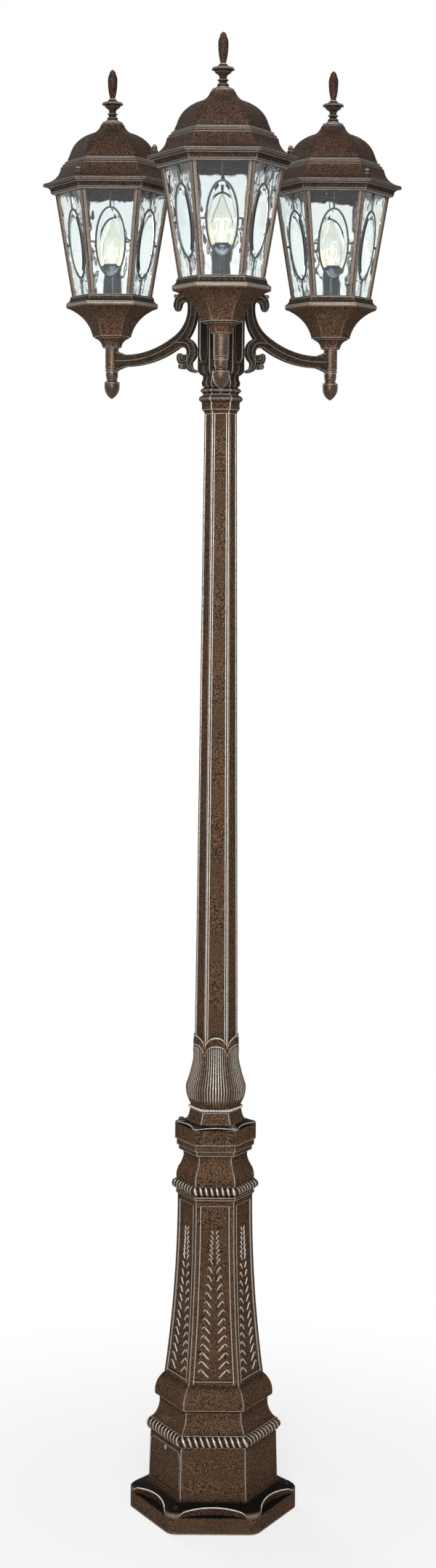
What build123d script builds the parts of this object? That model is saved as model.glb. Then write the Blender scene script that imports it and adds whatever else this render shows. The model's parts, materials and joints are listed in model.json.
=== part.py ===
from build123d import *
import os
from math import atan2, ceil, copysign, cos, degrees, radians, sin, sqrt, tan

# Three-lantern garden post light, cast in sections and bolted together.
# Millimetres, +Z up, origin on the ground under the post's axis, front lantern towards -Y.
# Six-sided castings are sized by their apothem: half the width across flats.
# A moulding is a list of bands from its foot up: (height, apothem at the band's top, bulge of its side).

HEX_SIDES = 6
HEX_TURNS = range(0, 360, 60)
CORNER_TURNS = range(30, 390, 60)
COS30 = cos(radians(30))
TAN30 = tan(radians(30))
FRONT_TURN = -90
LANTERN_TURNS = {"front": 0, "right": 120, "left": 240}

# Clearances
FIT = 0.3
SCREW_GAP = 0.25
DOOR_GAP = 0.8

# Round stretches are laid out in flats, so that the repeated castings stay light
FACET_SAG = 1.2
FLAT_TOLERANCE = 1e-6
ROUND_SIDES = 12
HEAD_EDGE_SHARE = 0.6
TULIP_SIDES = 18
SHANK_SIDES = 8
OVAL_SIDES = 10
STROKE_TURN = 30.0

# Pedestal: flange with scooped sides
FLANGE_APOTHEM = 126.0
FLANGE_CORNER_R = 22.0
FLANGE_EDGE_H = 32.0
FLANGE_ROLL_H = 6.0
FLANGE_ROLL_IN = 5.0
FLANGE_ROLL_BULGE = 1.2
FLANGE_SLOPE_H = 5.0
FLANGE_LEDGE = 10.5
FLANGE_COVE_H = 7.0
FLANGE_COVE_BULGE = -1.2
FLANGE_SCOOP_CHORD = 112.0
FLANGE_SCOOP_DEPTH = 15.0
FLANGE_SCOOP_DROP = 3.0
ANCHOR_HOLE_R = 5.5
ANCHOR_RADIUS = 127.0
ANCHOR_TURNS = (90, 210, 330)

# Pedestal: plinth, rope beds and panelled shaft
PLINTH_APOTHEM = 96.0
PLINTH_TOP_APOTHEM = 93.8
PLINTH_H = 83.0
PLINTH_LIP_H = 5.0
LOWER_ROPE_D = 20.0
LOWER_ROPE_SINK = 4.2
ROPE_FILLET_H = 2.0
SCOTIA_H = 30.0
SCOTIA_BULGE = -2.5
OVOLO_NECK_H = 7.0
OVOLO_OUT = 6.9
OVOLO_LIP_H = 5.0
OVOLO_APOTHEM = 87.5
OVOLO_H = 39.0
OVOLO_BULGE = 5.0
SHAFT_FOOT_APOTHEM = 73.5
SHAFT_HEAD_APOTHEM = 55.3
SHAFT_H = 299.0
SHAFT_HOLLOW = 4.1
SHAFT_COLLAR_H = 8.0
SHAFT_LIP_RISE = 7.0
SHAFT_LIP_H = 5.0
SHAFT_LIP_OUT = 2.6
UPPER_ROPE_D = 16.0
UPPER_ROPE_SINK = 0.6
NECK_APOTHEM = 48.2
NECK_H = 14.0
SEAT_APOTHEM = 56.8
SEAT_STEP = 2.7
SEAT_STEP_H = 6.5
SEAT_H = 12.0
PANEL_MARGIN = 9.0
PANEL_DEPTH = 2.0
PANEL_FOOT = 14.0
PANEL_HEAD = 16.0
PEDESTAL_WALL = 9.0
PEDESTAL_DECK = 26.0
CABLE_HOLE_R = 20.0

# Access door in the plinth
DOOR_TURN = 300
DOOR_W = 98.0
DOOR_H = 70.0
DOOR_T = 4.0
DOOR_CORNER_R = 9.0
DOOR_LAP = 9.0
DOOR_SCREW_R = 2.0
DOOR_SCREW_HEAD_R = 3.4
DOOR_SCREW_HEAD_H = 1.6
DOOR_SCREW_LENGTH = 8.0

# Column: foot flange, neck, tulip and tapered shaft
FOOT_APOTHEM = 60.5
FOOT_CORNER_R = 8.0
FOOT_EDGE_H = 18.0
FOOT_ROLL_H = 3.0
FOOT_ROLL_IN = 1.5
FOOT_SLOPE_H = 6.0
FOOT_LEDGE = 2.7
FOOT_COVE_H = 4.0
FOOT_SCOOP_CHORD = 56.0
FOOT_SCOOP_DEPTH = 7.0
FOOT_SCOOP_DROP = 1.5
COLLAR_BOLT_R = 3.0
COLLAR_BOLT_RADIUS = 58.0
COLLAR_BOLT_LENGTH = 32.0
COLLAR_BOLT_HEAD_R = 5.2
COLLAR_BOLT_HEAD_H = 4.5
COLLAR_BOLT_TURNS = (30, 150, 270)
COLUMN_NECK_APOTHEM = 43.3
COLUMN_NECK_H = 20.0
COLUMN_NECK_BULGE = -1.0
BEAD_STEP = 2.0
BEAD_APOTHEM = 36.0
BEAD_D = 9.0
TULIP_FOOT_R = 42.0
TULIP_BELLY_R = 50.7
TULIP_HEAD_R = 36.4
TULIP_BELLY_H = 27.0
TULIP_BELLY_BULGE = 3.0
TULIP_WAIST_R = 38.8
TULIP_WAIST_H = 47.0
TULIP_WAIST_BULGE = -1.0
TULIP_H = 117.0
PETAL_VALLEY_DROP = 19.0
PETAL_BULGE = 2.5
TULIP_SOCKET = 38.0
COLUMN_APOTHEM = 31.8
COLUMN_TOP_APOTHEM = 23.3
COLUMN_H = 1079.0
RIB_SHARE = 0.175
RIB_DEPTH_SHARE = 0.05
COLUMN_BORE_R = 14.0
CAPITAL_APOTHEM = 27.3
CAPITAL_FLARE_H = 7.0
CAPITAL_FLARE_BULGE = -1.0
CAPITAL_BLOCK_H = 12.0
CAPITAL_TORUS_H = 11.0
CAPITAL_TORUS_BULGE = 4.4

# Hub
HUB_APOTHEM = 33.5
HUB_NECK_APOTHEM = 25.9
HUB_FILLET_H = 4.0
HUB_TORUS_H = 8.0
HUB_TORUS_BULGE = 3.5
HUB_GROOVE_H = 2.0
HUB_RING_H = 12.0
HUB_RING_BULGE = 1.8
HUB_NECK_H = 6.0
HUB_FLARE_H = 13.0
HUB_FLARE_BULGE = -2.0
HUB_BODY_H = 114.0
HUB_BORE_R = 22.0
HUB_FLOOR = 6.0
HUB_PANEL_W = 24.0
HUB_PANEL_DEPTH = 1.5
HUB_PANEL_MARGIN = 9.0
HUB_SPIGOT_L = 30.0
HUB_CABLE_R = 8.0
HUB_CAP_OVERHANG = 2.5
HUB_CAP_EDGE_H = 4.0
HUB_CAP_CROWN_H = 7.0
HUB_CAP_CROWN_APOTHEM = 8.0
HUB_CAP_CROWN_BULGE = 2.5
HUB_CAP_SPIGOT_L = 8.0

# Scrolled arms
ARM_REACH = 212.7
ARM_RISE = 62.0
BAR_BEND_R = 180.0
BAR_BEND_TURN = 33.0
BRANCH_BEND_R = 62.0
BRANCH_STAND_OFF = 20.3
BRANCH_STRAIGHT = 6.0
VOLUTE_R = 14.5
VOLUTE_TURN = 190.0
BAR_HALF_DEPTH = 10.5
BAR_WAIST_HALF_DEPTH = 10.0
BRANCH_HALF_DEPTH = 8.3
VOLUTE_HALF_DEPTH = 9.0
TIP_HALF_DEPTH = 1.2
SCROLL_R = 15.8
SCROLL_STAND_OFF = 37.5
SCROLL_RISE = 11.0
SCROLL_CURL_R = 7.5
SCROLL_CURL_TURN = 110.0
SCROLL_ROOT_HALF_DEPTH = 9.0
SCROLL_HALF_DEPTH = 10.5
SCROLL_NECK_HALF_DEPTH = 6.5
SCROLL_END_HALF_DEPTH = 3.0
LEAF_BEND_R = 14.0
LEAF_ROOT_HALF_DEPTH = 8.0
LEAF_HALF_DEPTH = 6.5
LEAF_NECK_HALF_DEPTH = 2.7
LEAF_ROOT_DROP = 4.0
LEAF_TIP_L = 4.0
ARM_HALF_T = 8.5
ARM_EDGE_HALF_T = 5.2
EYE_HALF_T = 7.0
EYE_SINK = 1.5
UPPER_EYE_R = 3.4
LOWER_EYE_R = 4.6
PAD_R = 5.6
UPPER_PAD_RISE = 80.5
LOWER_PAD_RISE = 9.5
PAD_SINK = 3.0
BOSS_R = 11.7
BOSS_DROP = 18.0
BOSS_H = 40.0
STEM_R = 5.0
STEM_BORE_R = 3.5

# Acorn finial under each arm
ACORN_RING_R = 10.2
ACORN_RING_H = 8.0
ACORN_NECK_R = 7.7
ACORN_NECK_H = 6.0
ACORN_R = 13.1
ACORN_TIP_R = 1.2
ACORN_BELLY_H = 25.0
ACORN_BELLY_BULGE = 4.5
ACORN_SHOULDER_H = 6.0
ACORN_SHOULDER_BULGE = 1.5
STEM_GRIP = 12.0

# Lantern cup
CUP_FOOT_APOTHEM = 13.4
CUP_STEP_APOTHEM = 25.5
CUP_BOWL_APOTHEM = 28.7
CUP_LIP_APOTHEM = 62.4
CUP_RIM_APOTHEM = 67.3
CUP_FOOT_H = 17.0
CUP_FOOT_HOLLOW = 3.0
CUP_STEP_H = 3.5
CUP_BOWL_H = 43.5
CUP_BOWL_HOLLOW = 6.4
CUP_RIM_H = 6.0
CUP_RIM_EDGE_H = 2.0
CUP_RIM_BULGE = 1.0
CUP_WALL = 5.5
CUP_FLOOR = 9.0

# Lantern cage and panes
CAGE_SILL_H = 15.0
CAGE_SILL_APOTHEM = 60.4
CAGE_SILL_OPENING = 50.0
RIB_FOOT_APOTHEM = 58.3
RIB_HEAD_APOTHEM = 82.9
RIB_H = 168.0
RIB_W = 8.0
RIB_T = 4.0
CORNICE_APOTHEM = 89.2
CORNICE_TOP_APOTHEM = 94.4
CORNICE_H = 12.5
CORNICE_HOLLOW = 1.0
CORNICE_OPENING = 72.0
PANE_T = 3.0
PANE_MITRE = 0.6
OVAL_W = 45.0
OVAL_H = 109.0
OVAL_RISE = 1.5
OVAL_TABLE_SHARE = 0.78
CAME_W = 3.2
CAME_T = 1.6

# Lantern roof
EAVE_APOTHEM = 101.0
EAVE_H = 5.5
ROOF_SWEEP_H = 28.0
ROOF_SWEEP_APOTHEM = 73.6
ROOF_SWEEP_HOLLOW = 6.3
ROOF_STEP_APOTHEM = 70.5
ROOF_STEP_H = 7.5
ROOF_LEDGE_H = 4.5
DOME_APOTHEM = 65.0
DOME_TOP_APOTHEM = 32.0
DOME_H = 42.0
DOME_BULGE = 7.0
ROOF_FLARE_H = 16.0
ROOF_FLARE_HOLLOW = 3.0
ROOF_NECK_APOTHEM = 15.5
ROOF_CAP_APOTHEM = 13.6
ROOF_CAP_H = 4.0
ROOF_WALL = 6.0
ROOF_NUT_TURNS = (90, 270)
ROOF_NUT_RADIUS = 105.0
ROOF_NUT_R = 4.2
ROOF_NUT_H = 5.0
ROOF_NUT_CROWN_H = 3.5
ROOF_NUT_TIP_R = 1.5
ROOF_BOSS_R = 5.4
ROOF_BOSS_H = 14.0

# Roof finial
FINIAL_STUD_R = 4.0
FINIAL_STUD_L = 8.0
FINIAL_RING_R = 11.0
FINIAL_RING_H = 7.0
FINIAL_WAIST_R = 8.6
FINIAL_WAIST_H = 17.0
FINIAL_DISC_R = 17.4
FINIAL_DISC_RISE = 6.0
FINIAL_DISC_FALL = 14.0
FINIAL_DISC_HOLLOW = 2.0
FINIAL_BUD_FOOT_R = 6.0
FINIAL_BUD_R = 8.0
FINIAL_BUD_BELLY_H = 18.0
FINIAL_BUD_TIP_H = 22.0
FINIAL_BUD_BULGE = 1.5
FINIAL_TIP_R = 0.6

# Lampholder and lamp
HOLDER_R = 15.5
HOLDER_FOOT_RISE = 85.0
HOLDER_H = 54.0
SOCKET_DEPTH = 26.0
LAMP_BASE_R = 12.8
LAMP_BASE_L = 24.0
LAMP_R = 17.0
LAMP_BELLY_H = 24.0
LAMP_BELLY_BULGE = 1.5
LAMP_TIP_R = 1.0
LAMP_TIP_BULGE = 5.0
LAMP_H = 74.0


def arc_points(start, end, bulge):
    """Points along an arc after its start; a positive bulge is to the right of the way it runs."""
    dx, dz = end[0] - start[0], end[1] - start[1]
    chord = sqrt(dx ** 2 + dz ** 2)
    half_turn = 2 * atan2(2 * abs(bulge), chord)
    radius = chord / (2 * sin(half_turn)) if bulge else 0
    flats = max(1, ceil(sqrt(abs(bulge) / FACET_SAG)))
    points = []
    for flat in range(1, flats + 1):
        angle = half_turn * (2 * flat / flats - 1)
        along = 0.5 + radius * sin(angle) / chord if bulge else 1.0
        out = copysign(radius * (cos(angle) - cos(half_turn)) / chord, bulge)
        points.append((start[0] + dx * along + dz * out, start[1] + dz * along - dx * out))
    return points


def side_points(apothem, z, bands):
    """Points of a moulding's side from its foot up."""
    points = [(apothem, z)]
    for height, top, bulge in bands:
        points += arc_points(points[-1], (top, points[-1][1] + height), bulge)
    return points


def bands_height(bands):
    return sum(height for height, top, bulge in bands)


def faceted(sides, apothem, z, bands):
    """Moulded body with this many sides: what slabs with the same mirrored outline have in common."""
    right = side_points(apothem, z, bands)
    left = [(-x, height) for x, height in reversed(right)]
    outline = Plane.XZ * make_face(Polyline(*right, *left, close=True))
    slab = extrude(outline, 2 * max(x for x, height in right), both=True)
    body = slab
    for side in range(1, sides // 2):
        body &= Rot(Z=360 / sides * side) * slab
    return body


def hex_casting(apothem, z, bands):
    return faceted(HEX_SIDES, apothem, z, bands)


def turned(radius, z, bands):
    return faceted(ROUND_SIDES, radius, z, bands)


def prism(sides, apothem, z, height):
    polygon = RegularPolygon(apothem, sides, major_radius=False, rotation=180 / sides)
    return Pos(0, 0, z) * extrude(polygon, height)


def drum(radius, z, height):
    return prism(ROUND_SIDES, radius, z, height)


def shank(radius, z, height):
    return prism(SHANK_SIDES, radius, z, height)


def hex_prism(apothem, z, height):
    return prism(HEX_SIDES, apothem, z, height)


def rounded(corners, radius):
    """Outline with each corner of a convex polygon, listed anticlockwise, rounded in flats."""
    points = []
    for i, corner in enumerate(corners):
        back = (corners[i - 1] - corner).normalized()
        ahead = (corners[(i + 1) % len(corners)] - corner).normalized()
        half_angle = radians(back.get_angle(ahead) / 2)
        reach = radius / tan(half_angle)
        start, end = corner + back * reach, corner + ahead * reach
        points.append((start.X, start.Y))
        points += arc_points((start.X, start.Y), (end.X, end.Y), radius * (1 - sin(half_angle)))
    return make_face(Polyline(*points, close=True))


def rounded_hex(apothem, corner_r, z, height):
    corners = [Vector(apothem / COS30, 0).rotate(Axis.Z, turn) for turn in CORNER_TURNS]
    return Pos(0, 0, z) * extrude(rounded(corners, corner_r), height)


def rounded_plate(width, height, corner_r):
    x, y = width / 2, height / 2
    return rounded([Vector(-x, -y), Vector(x, -y), Vector(x, y), Vector(-x, y)], corner_r)


def flats(first, second, third, fourth):
    """Faces of a four-cornered facet: one where it is flat, otherwise two."""
    normal = (second - first).cross(third - first).normalized()
    corners = [(first, second, third, fourth)]
    if abs(normal.dot(fourth - first)) > FLAT_TOLERANCE:
        corners = [(first, second, third), (first, third, fourth)]
    return [Face(Wire.make_polygon(facet)) for facet in corners]


def skin(rings):
    """Solid through rings of corners, closed at both ends, with flat facets between them."""
    faces = [Face(Wire.make_polygon(rings[0])), Face(Wire.make_polygon(rings[-1]))]
    for ring, following in zip(rings, rings[1:]):
        for i in range(len(ring)):
            faces += flats(ring[i - 1], ring[i], following[i], following[i - 1])
    return Solid(Shell(faces))


def around(turns, radius, shape):
    """Copies of a shape set out on a circle about the Z axis."""
    return [Rot(Z=turn) * Pos(radius, 0, 0) * shape for turn in turns]


def scoops(apothem, chord, depth, z, height):
    """Cutters for the crescent scoop in the top edge of each of the six sides."""
    start, end = (apothem, chord / 2), (apothem, -chord / 2)
    outline = Polyline(start, *arc_points(start, end, depth), (apothem + depth, -chord / 2),
                       (apothem + depth, chord / 2), close=True)
    cutter = Pos(0, 0, z) * extrude(make_face(outline), height)
    return [Rot(Z=turn) * cutter for turn in HEX_TURNS]


def face_plane(turn, apothem, z, lean=0):
    """Plane on a side face, its x axis level; lean tips the outward normal up, in degrees."""
    normal = (cos(radians(lean)), 0, sin(radians(lean)))
    return Plane(Rot(Z=turn) * Plane(origin=(apothem, 0, z), x_dir=(0, 1, 0), z_dir=normal).location)


# Heights of the stacked castings
flange_bands = [
    (FLANGE_EDGE_H, FLANGE_APOTHEM, 0),
    (FLANGE_ROLL_H, FLANGE_APOTHEM - FLANGE_ROLL_IN, FLANGE_ROLL_BULGE),
    (FLANGE_SLOPE_H, PLINTH_APOTHEM + FLANGE_LEDGE, 0),
    (FLANGE_COVE_H, PLINTH_APOTHEM, FLANGE_COVE_BULGE),
]
PLINTH_Z = bands_height(flange_bands)
lower_rope_apothem = PLINTH_TOP_APOTHEM - LOWER_ROPE_SINK
upper_rope_apothem = SHAFT_HEAD_APOTHEM - UPPER_ROPE_SINK
base_bands = [
    (PLINTH_H, PLINTH_TOP_APOTHEM, 0),
    (PLINTH_LIP_H, PLINTH_TOP_APOTHEM, 0),
    (0, lower_rope_apothem, 0),
    (LOWER_ROPE_D, lower_rope_apothem, LOWER_ROPE_D / 2),
    (ROPE_FILLET_H, lower_rope_apothem, 0),
    (SCOTIA_H, OVOLO_APOTHEM - OVOLO_OUT, SCOTIA_BULGE),
    (OVOLO_NECK_H, OVOLO_APOTHEM - OVOLO_OUT, 0),
    (OVOLO_LIP_H, OVOLO_APOTHEM, 0),
    (OVOLO_H, SHAFT_FOOT_APOTHEM, OVOLO_BULGE),
]
SHAFT_Z = PLINTH_Z + bands_height(base_bands)
head_bands = [
    (SHAFT_H, SHAFT_HEAD_APOTHEM, -SHAFT_HOLLOW),
    (SHAFT_COLLAR_H, SHAFT_HEAD_APOTHEM, 0),
    (SHAFT_LIP_RISE, SHAFT_HEAD_APOTHEM + SHAFT_LIP_OUT, 0),
    (SHAFT_LIP_H, SHAFT_HEAD_APOTHEM + SHAFT_LIP_OUT, 0),
    (ROPE_FILLET_H, upper_rope_apothem, 0),
    (UPPER_ROPE_D, upper_rope_apothem, UPPER_ROPE_D / 2),
    (ROPE_FILLET_H, upper_rope_apothem + SHAFT_LIP_OUT, 0),
    (SCOTIA_H, NECK_APOTHEM, SCOTIA_BULGE),
    (NECK_H, NECK_APOTHEM, 0),
    (0, SEAT_APOTHEM - 2 * SEAT_STEP, 0),
    (SEAT_STEP_H, SEAT_APOTHEM - 2 * SEAT_STEP, 0),
    (0, SEAT_APOTHEM - SEAT_STEP, 0),
    (SEAT_STEP_H, SEAT_APOTHEM - SEAT_STEP, 0),
    (0, SEAT_APOTHEM, 0),
    (SEAT_H, SEAT_APOTHEM, 0),
]
SEAT_Z = SHAFT_Z + bands_height(head_bands)

foot_bands = [
    (FOOT_EDGE_H, FOOT_APOTHEM, 0),
    (FOOT_ROLL_H, FOOT_APOTHEM - FOOT_ROLL_IN, 0),
    (FOOT_SLOPE_H, COLUMN_NECK_APOTHEM + FOOT_LEDGE, 0),
    (FOOT_COVE_H, COLUMN_NECK_APOTHEM, 0),
    (COLUMN_NECK_H, BEAD_APOTHEM + BEAD_STEP, COLUMN_NECK_BULGE),
    (0, BEAD_APOTHEM, 0),
    (BEAD_D, BEAD_APOTHEM, BEAD_D / 2),
]
TULIP_Z = SEAT_Z + bands_height(foot_bands)
COLUMN_Z = TULIP_Z + TULIP_H - TULIP_SOCKET
capital_bands = [
    (CAPITAL_FLARE_H, CAPITAL_APOTHEM, CAPITAL_FLARE_BULGE),
    (CAPITAL_BLOCK_H, CAPITAL_APOTHEM, 0),
    (CAPITAL_TORUS_H, CAPITAL_APOTHEM, CAPITAL_TORUS_BULGE),
]
CAPITAL_Z = COLUMN_Z + COLUMN_H
HUB_Z = CAPITAL_Z + bands_height(capital_bands)
hub_foot_bands = [
    (HUB_FILLET_H, HUB_NECK_APOTHEM, 0),
    (HUB_TORUS_H, HUB_NECK_APOTHEM, HUB_TORUS_BULGE),
    (HUB_GROOVE_H, HUB_NECK_APOTHEM, 0),
    (HUB_RING_H, HUB_NECK_APOTHEM, HUB_RING_BULGE),
    (HUB_NECK_H, HUB_NECK_APOTHEM, 0),
    (HUB_FLARE_H, HUB_APOTHEM, HUB_FLARE_BULGE),
]
HUB_BODY_Z = HUB_Z + bands_height(hub_foot_bands)
HUB_TOP_Z = HUB_BODY_Z + HUB_BODY_H
ARM_Z = HUB_Z + ARM_RISE
BOSS_TOP_Z = ARM_Z - BOSS_DROP + BOSS_H
CUP_TOP_Z = BOSS_TOP_Z + CUP_FOOT_H + CUP_STEP_H + CUP_BOWL_H + CUP_RIM_H
SILL_TOP_Z = CUP_TOP_Z + CAGE_SILL_H
CORNICE_Z = SILL_TOP_Z + RIB_H
ROOF_Z = CORNICE_Z + CORNICE_H
HOLDER_Z = BOSS_TOP_Z + HOLDER_FOOT_RISE
SOCKET_TOP_Z = HOLDER_Z + HOLDER_H


def door_plane():
    draft = degrees(atan2(PLINTH_APOTHEM - PLINTH_TOP_APOTHEM, PLINTH_H))
    return face_plane(DOOR_TURN, (PLINTH_APOTHEM + PLINTH_TOP_APOTHEM) / 2, PLINTH_Z + PLINTH_H / 2, draft)


def door_screw_spot():
    """Place of the door's screw on the door plane: top middle, over the lap."""
    return Location(door_plane()) * Pos(0, DOOR_H / 2 - DOOR_LAP / 2, 0)


def pedestal():
    """Hollow hexagonal pedestal: scooped flange, plinth with hand hole, panelled shaft and seat."""
    body = hex_casting(FLANGE_APOTHEM, 0, flange_bands + base_bands + head_bands)
    body &= rounded_hex(FLANGE_APOTHEM, FLANGE_CORNER_R, 0, SEAT_Z)
    body -= scoops(FLANGE_APOTHEM, FLANGE_SCOOP_CHORD, FLANGE_SCOOP_DEPTH,
                   FLANGE_EDGE_H - FLANGE_SCOOP_DROP, PLINTH_Z)
    body -= shaft_panels()
    hollow_bands = [
        (PLINTH_Z + PLINTH_H, PLINTH_TOP_APOTHEM - PEDESTAL_WALL, 0),
        (SHAFT_Z - PLINTH_Z - PLINTH_H, SHAFT_FOOT_APOTHEM - PEDESTAL_WALL, 0),
        (SHAFT_H, SHAFT_HEAD_APOTHEM - PEDESTAL_WALL, -SHAFT_HOLLOW),
        (SEAT_Z - PEDESTAL_DECK - SHAFT_Z - SHAFT_H, NECK_APOTHEM - PEDESTAL_WALL, 0),
    ]
    body -= hex_casting(PLINTH_TOP_APOTHEM - PEDESTAL_WALL, 0, hollow_bands)
    body -= drum(CABLE_HOLE_R, SEAT_Z - 2 * PEDESTAL_DECK, 3 * PEDESTAL_DECK)
    body -= around(ANCHOR_TURNS, ANCHOR_RADIUS, extrude(Circle(ANCHOR_HOLE_R), PLINTH_Z))
    depth = COLLAR_BOLT_LENGTH - FOOT_EDGE_H
    bolt_hole = shank(COLLAR_BOLT_R + SCREW_GAP, SEAT_Z - depth, 2 * depth)
    body -= collar_ring(bolt_hole)
    return body - door_seat()


def shaft_panels():
    """Sunk panel on each face of the pedestal's shaft, its sides following the shaft's corners."""
    foot_z, head_z = SHAFT_Z + PANEL_FOOT, SHAFT_Z + SHAFT_H - PANEL_HEAD
    widths = []
    for z in (foot_z, (foot_z + head_z) / 2, head_z):
        share = (z - SHAFT_Z) / SHAFT_H
        straight = SHAFT_FOOT_APOTHEM + (SHAFT_HEAD_APOTHEM - SHAFT_FOOT_APOTHEM) * share
        apothem = straight - 4 * SHAFT_HOLLOW * share * (1 - share)
        widths.append((apothem * TAN30 - PANEL_MARGIN, z))
    outline = Polyline(*widths, *[(-half, z) for half, z in reversed(widths)], close=True)
    block = extrude(Plane.YZ * make_face(outline), 2 * SHAFT_FOOT_APOTHEM)
    floor = hex_casting(SHAFT_FOOT_APOTHEM - PANEL_DEPTH, SHAFT_Z,
                        [(SHAFT_H, SHAFT_HEAD_APOTHEM - PANEL_DEPTH, -SHAFT_HOLLOW)])
    pocket = block - floor
    return [Rot(Z=turn) * pocket for turn in HEX_TURNS]


def door_seat():
    """Rebate and hand hole for the access door, with the hole for its screw."""
    plane = door_plane()
    rebate = plane * rounded_plate(DOOR_W + 2 * DOOR_GAP, DOOR_H + 2 * DOOR_GAP, DOOR_CORNER_R + DOOR_GAP)
    hole = plane * Rectangle(DOOR_W - 2 * DOOR_LAP, DOOR_H - 2 * DOOR_LAP)
    cuts = [extrude(rebate, DOOR_T + FIT, both=True), extrude(hole, 4 * PEDESTAL_WALL, both=True)]
    return cuts + [door_screw_hole()]


def door_screw_hole():
    return door_screw_spot() * shank(DOOR_SCREW_R + SCREW_GAP, -DOOR_SCREW_LENGTH, 2 * DOOR_SCREW_LENGTH)


def access_door():
    plate = extrude(door_plane() * rounded_plate(DOOR_W, DOOR_H, DOOR_CORNER_R), -DOOR_T)
    return plate - door_screw_hole()


def bolt(head_r, head_h, shank_r, shank_l):
    """Bolt along Z with its hexagonal head standing on z = 0."""
    edge_h = head_h * HEAD_EDGE_SHARE
    head = hex_casting(head_r, 0, [(edge_h, head_r, 0), (head_h - edge_h, head_r / 2, 0)])
    return head + shank(shank_r, -shank_l, shank_l)


def door_screw():
    return door_screw_spot() * bolt(DOOR_SCREW_HEAD_R, DOOR_SCREW_HEAD_H, DOOR_SCREW_R, DOOR_SCREW_LENGTH)


def petal_notches():
    """Cutters between the petals: pointed valleys on the six corners of the tulip's head."""
    half = TULIP_HEAD_R * TAN30
    top = TULIP_Z + TULIP_H
    foot = (0, top - PETAL_VALLEY_DROP)
    flank = arc_points(foot, (half, top), PETAL_BULGE)
    outline = Polyline(foot, *flank, *[(-x, z) for x, z in reversed(flank)], close=True)
    notch = extrude(Plane.YZ * make_face(outline), 2 * TULIP_BELLY_R)
    return [Rot(Z=turn) * notch for turn in CORNER_TURNS]


def tulip():
    """Round bulb of six petals whose pointed tips lie on the faces of the column."""
    bands = [
        (TULIP_BELLY_H, TULIP_BELLY_R, TULIP_BELLY_BULGE),
        (TULIP_WAIST_H, TULIP_WAIST_R, TULIP_WAIST_BULGE),
        (TULIP_H - TULIP_BELLY_H - TULIP_WAIST_H, TULIP_HEAD_R, 0),
    ]
    return faceted(TULIP_SIDES, TULIP_FOOT_R, TULIP_Z, bands) - petal_notches()


def column_section(apothem, z):
    """Section of the column's shaft: six corner ribs with a sunk flat between each pair."""
    half = apothem * TAN30
    flat = half * (1 - 2 * RIB_SHARE)
    floor = apothem * (1 - RIB_DEPTH_SHARE)
    points = []
    for turn in HEX_TURNS:
        for y, x in ((-half, apothem), (-flat, apothem), (-flat, floor), (flat, floor), (flat, apothem)):
            points.append(Vector(x, y, z).rotate(Axis.Z, turn))
    return points


def column():
    """Column casting: scooped foot flange, neck, tulip, ribbed shaft and capital."""
    foot = hex_casting(FOOT_APOTHEM, SEAT_Z, foot_bands)
    foot &= rounded_hex(FOOT_APOTHEM, FOOT_CORNER_R, SEAT_Z, bands_height(foot_bands))
    foot -= scoops(FOOT_APOTHEM, FOOT_SCOOP_CHORD, FOOT_SCOOP_DEPTH,
                   SEAT_Z + FOOT_EDGE_H - FOOT_SCOOP_DROP, FOOT_EDGE_H)
    foot += collar_ring(drum(COLLAR_BOLT_HEAD_R, SEAT_Z, FOOT_EDGE_H))
    foot -= collar_ring(drum(COLLAR_BOLT_HEAD_R + FIT, SEAT_Z + FOOT_EDGE_H, FOOT_EDGE_H))
    foot -= collar_ring(shank(COLLAR_BOLT_R + SCREW_GAP, SEAT_Z, FOOT_EDGE_H))
    shaft = skin([column_section(COLUMN_APOTHEM, COLUMN_Z), column_section(COLUMN_TOP_APOTHEM, CAPITAL_Z)])
    capital = hex_casting(COLUMN_TOP_APOTHEM, CAPITAL_Z, capital_bands)
    return foot + tulip() + shaft + capital - drum(COLUMN_BORE_R, SEAT_Z, HUB_Z - SEAT_Z)


def collar_ring(shape):
    return around(COLLAR_BOLT_TURNS, COLLAR_BOLT_RADIUS, shape)


def collar_bolts():
    one = bolt(COLLAR_BOLT_HEAD_R * COS30, COLLAR_BOLT_HEAD_H, COLLAR_BOLT_R, COLLAR_BOLT_LENGTH)
    return Compound(collar_ring(Pos(0, 0, SEAT_Z + FOOT_EDGE_H) * one))


def hub_panels():
    """Sunk panel with a round foot on each face of the hub."""
    foot_z = HUB_BODY_Z + HUB_PANEL_MARGIN
    head_z = HUB_TOP_Z - HUB_PANEL_MARGIN
    half = HUB_PANEL_W / 2
    left, right = (-half, foot_z + half), (half, foot_z + half)
    outline = Polyline(left, *arc_points(left, right, half), (half, head_z), (-half, head_z), close=True)
    pocket = extrude(Plane.YZ * make_face(outline), HUB_APOTHEM)
    return [Rot(Z=turn) * Pos(HUB_APOTHEM - HUB_PANEL_DEPTH, 0, 0) * pocket for turn in HEX_TURNS]


def pad_heights():
    return ARM_Z + LOWER_PAD_RISE, ARM_Z + UPPER_PAD_RISE


def hub():
    """Hollow hub that carries the arms, with a spigot in the column."""
    body = hex_casting(HUB_NECK_APOTHEM, HUB_Z, hub_foot_bands + [(HUB_BODY_H, HUB_APOTHEM, 0)])
    body -= hub_panels()
    body += drum(COLUMN_BORE_R - FIT, HUB_Z - HUB_SPIGOT_L, HUB_SPIGOT_L)
    body -= drum(HUB_BORE_R, HUB_BODY_Z + HUB_FLOOR, HUB_BODY_H)
    return body - drum(HUB_CABLE_R, HUB_Z - HUB_SPIGOT_L, HUB_BODY_H)


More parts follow.
